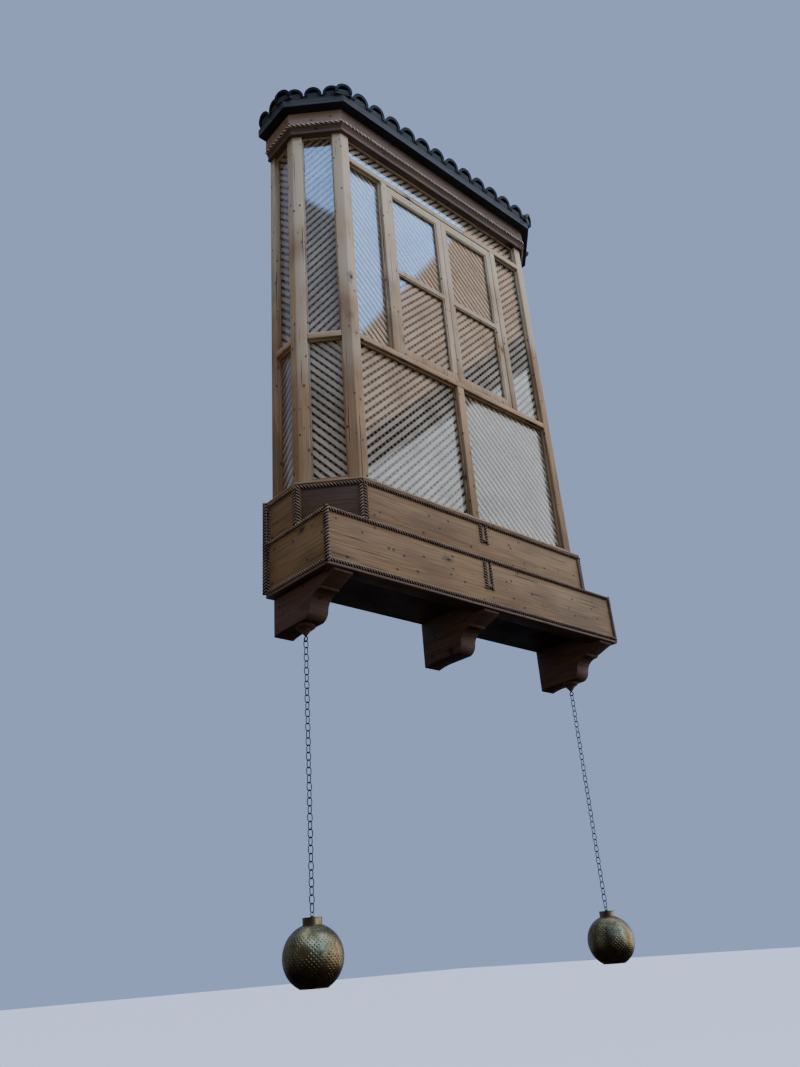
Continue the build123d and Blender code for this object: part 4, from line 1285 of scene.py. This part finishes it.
def lanterns():
    """Pierced brass globes with their collars, rims, knobs and loops."""
    foot, top = COLLAR_FOOT, COLLAR_FOOT + COLLAR_HEIGHT
    collar = [
        (COLLAR_RADIUS - 0.002, foot - 0.002), (COLLAR_RADIUS, foot - 0.001),
        (COLLAR_RADIUS, top - 0.004), (COLLAR_RADIUS + 0.001, top - 0.003),
        (COLLAR_RADIUS + 0.001, top - 0.001), (COLLAR_RADIUS - 0.001, top),
        (0.004, top + 0.001), (0.004, top - 0.001), (COLLAR_RADIUS - 0.003, top - 0.003),
        (COLLAR_RADIUS - 0.003, foot - 0.002),
    ]
    rim = arc(MOUTH_RADIUS, MOUTH_HEIGHT, RIM_RADIUS, 0, 315, 7)
    knob = [
        (0.0005, top - 0.001), (0.009, top), (0.0095, top + 0.003),
        (0.006, top + 0.0055), (0.0005, top + 0.0065),
    ]
    for side in ("left", "right"):
        low, high = box(f"lantern_{side}")
        axis = Vector(((low.x + high.x) / 2, (low.y + high.y) / 2, 0))
        centre = axis + UP * (low.z - MOUTH_HEIGHT + RIM_LIFT)
        body, name = f"lamp_{side}", f"globe_{side}"
        globe = place_piece(name, globe_mesh(name + "_shell", centre), body, BRASS, smooth=40)
        wall = globe.modifiers.new("sheet", "SOLIDIFY")
        wall.thickness = GLOBE_WALL
        wall.offset = -1
        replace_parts(globe, f"lantern_{side}")
        place_piece(name + "_collar", turned(collar, centre), body, BRASS, smooth=35)
        place_piece(name + "_rim", turned(rim, centre), body, BRASS, smooth=60)
        place_piece(name + "_knob", turned(knob, centre, 20), body, BRASS, smooth=50)
        loop = wire_link(LOOP_INSIDE, LOOP_INSIDE, LOOP_WIRE, bend=8)
        across = CHAIN_LINKS[side] % 2 == 1
        turn = Matrix.Rotation(pi / 2 if across else 0, 4, "Z")
        height = high.z - LOOP_INSIDE / 2 - LOOP_WIRE
        loop.transform(Matrix.Translation(axis + UP * height) @ turn)
        place_piece(name + "_loop", loop, body, BRASS, smooth=60)


# Floor, light and camera

def card(name, corners, material):
    """A flat card of the stage, left out of what lights the object and what it mirrors."""
    mesh = mesh_of(name, corners, [(0, 1, 2, 3)])
    mesh.materials.append(material)
    shown = show(name, mesh)
    shown.visible_diffuse = shown.visible_glossy = False
    return shown


def lamp(name, size, power, tone, place, target):
    """A round soft lamp that nothing mirrors."""
    data = bpy.data.lights.new(name, "AREA")
    data.shape = "DISK"
    data.size = size
    data.energy = power
    data.color = srgb(tone)[:3]
    light = show(name, data)
    light.location = place
    aim = Vector(target) - Vector(place)
    light.rotation_euler = aim.to_track_quat("-Z", "Y").to_euler()
    light.visible_glossy = False


def stage():
    """A pale floor well below, a dark card behind the open back, and soft light."""
    reach = FLOOR_REACH
    corners = ((-reach, -reach), (reach, -reach), (reach, reach), (-reach, reach))
    pale = new_material("pale_floor")[0]
    shade(pale, {"Base Color": srgb("#c9ccd6"), "Roughness": 0.9})
    card("floor", [(x, y, FLOOR_HEIGHT) for x, y in corners], pale)

    # The dark card shows from the front only
    dark, tree = new_material("unlit_room")
    matt = {"Roughness": 1.0, "Specular IOR Level": 0.0}
    matt = add(tree, "BsdfPrincipled", {"Base Color": srgb("#0d0b0a"), **matt})[0]
    behind = add(tree, "NewGeometry")["Backfacing"]
    clear = add(tree, "BsdfTransparent")[0]
    either = add(tree, "MixShader", {0: behind, 1: matt, 2: clear})[0]
    add(tree, "OutputMaterial", {"Surface": either})
    side, low, high = ROOM_HALF_WIDTH, ROOM_LOW, ROOM_HIGH
    corners = ((-side, low), (side, low), (side, high), (-side, high))
    card("dark_room", [(x, ROOM_PLACE, z) for x, z in corners], dark).visible_shadow = False

    world = bpy.data.worlds.new("soft_surroundings")
    bpy.context.scene.world = world
    world.use_nodes = True
    tree = world.node_tree
    tree.nodes.clear()
    direction = add(tree, "TexCoord")["Generated"]
    colour, strength = srgb(BASE_LIGHT[0]), BASE_LIGHT[1]
    for axis, low, high, tone, power in LIGHT_BANDS:
        dot = {0: direction, 1: axis}
        reach = add(tree, "VectorMath", dot, operation="DOT_PRODUCT")["Value"]
        limits = {"Value": reach, "From Min": low, "From Max": high}
        share = add(tree, "MapRange", limits, **SMOOTH)[0]
        colour = add(tree, "Mix", {0: share, 6: colour, 7: srgb(tone)}, **COLOUR)[2]
        strength = add(tree, "Mix", {0: share, 2: strength, 3: power})[0]
    rays = add(tree, "LightPath")
    grey = add(tree, "RGBToBW", {0: colour})[0]
    warmed = add(tree, "VectorMath", {0: grey, 1: WARM_GREY}, operation="MULTIPLY")[0]
    cast = {0: rays["Is Diffuse Ray"], 1: WARM_SHARE}
    cast = add(tree, "Math", cast, operation="MULTIPLY")[0]
    tone = add(tree, "Mix", {0: cast, 6: colour, 7: warmed}, **COLOUR)[2]
    light = add(tree, "Background", {"Color": tone, "Strength": strength})[0]
    seen = add(tree, "Background", {"Color": srgb("#93a6d0"), "Strength": 1.0})[0]
    both = add(tree, "MixShader", {0: rays["Is Camera Ray"], 1: light, 2: seen})[0]
    add(tree, "OutputWorld", {"Surface": both})
    lamp("broad_lamp", 4.0, 120, "#fff2e2", (1.5, -4.5, 6.5), (0, -0.3, 1.5))
    lamp("side_lamp", 3.0, 85, "#fff4ea", (-6.5, -2.5, -0.6), (-1.0, -0.3, 0.8))


def camera():
    """The camera at the photograph's place and angle."""
    heading, elevation = radians(CAMERA_HEADING), radians(CAMERA_ELEVATION)
    level = cos(elevation)
    forward = Vector((sin(heading) * level, cos(heading) * level, sin(elevation)))
    data = bpy.data.cameras.new("photograph_view")
    data.sensor_fit = "HORIZONTAL"
    data.sensor_width = SENSOR_WIDTH
    data.lens = SENSOR_WIDTH * CAMERA_FOCAL_WIDTHS
    data.clip_start = 0.05
    data.clip_end = 300
    view = show("photograph_view", data)
    view.location = CAMERA_PLACE
    roll = Quaternion((0, 0, 1), radians(CAMERA_ROLL))
    view.rotation_mode = "QUATERNION"
    view.rotation_quaternion = forward.to_track_quat("-Z", "Y") @ roll
    bpy.context.scene.camera = view


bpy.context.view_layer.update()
camera()
stage()
joinery()
mouldings()
rope_mouldings()
back_lattice()
roof()
chains()
lanterns()
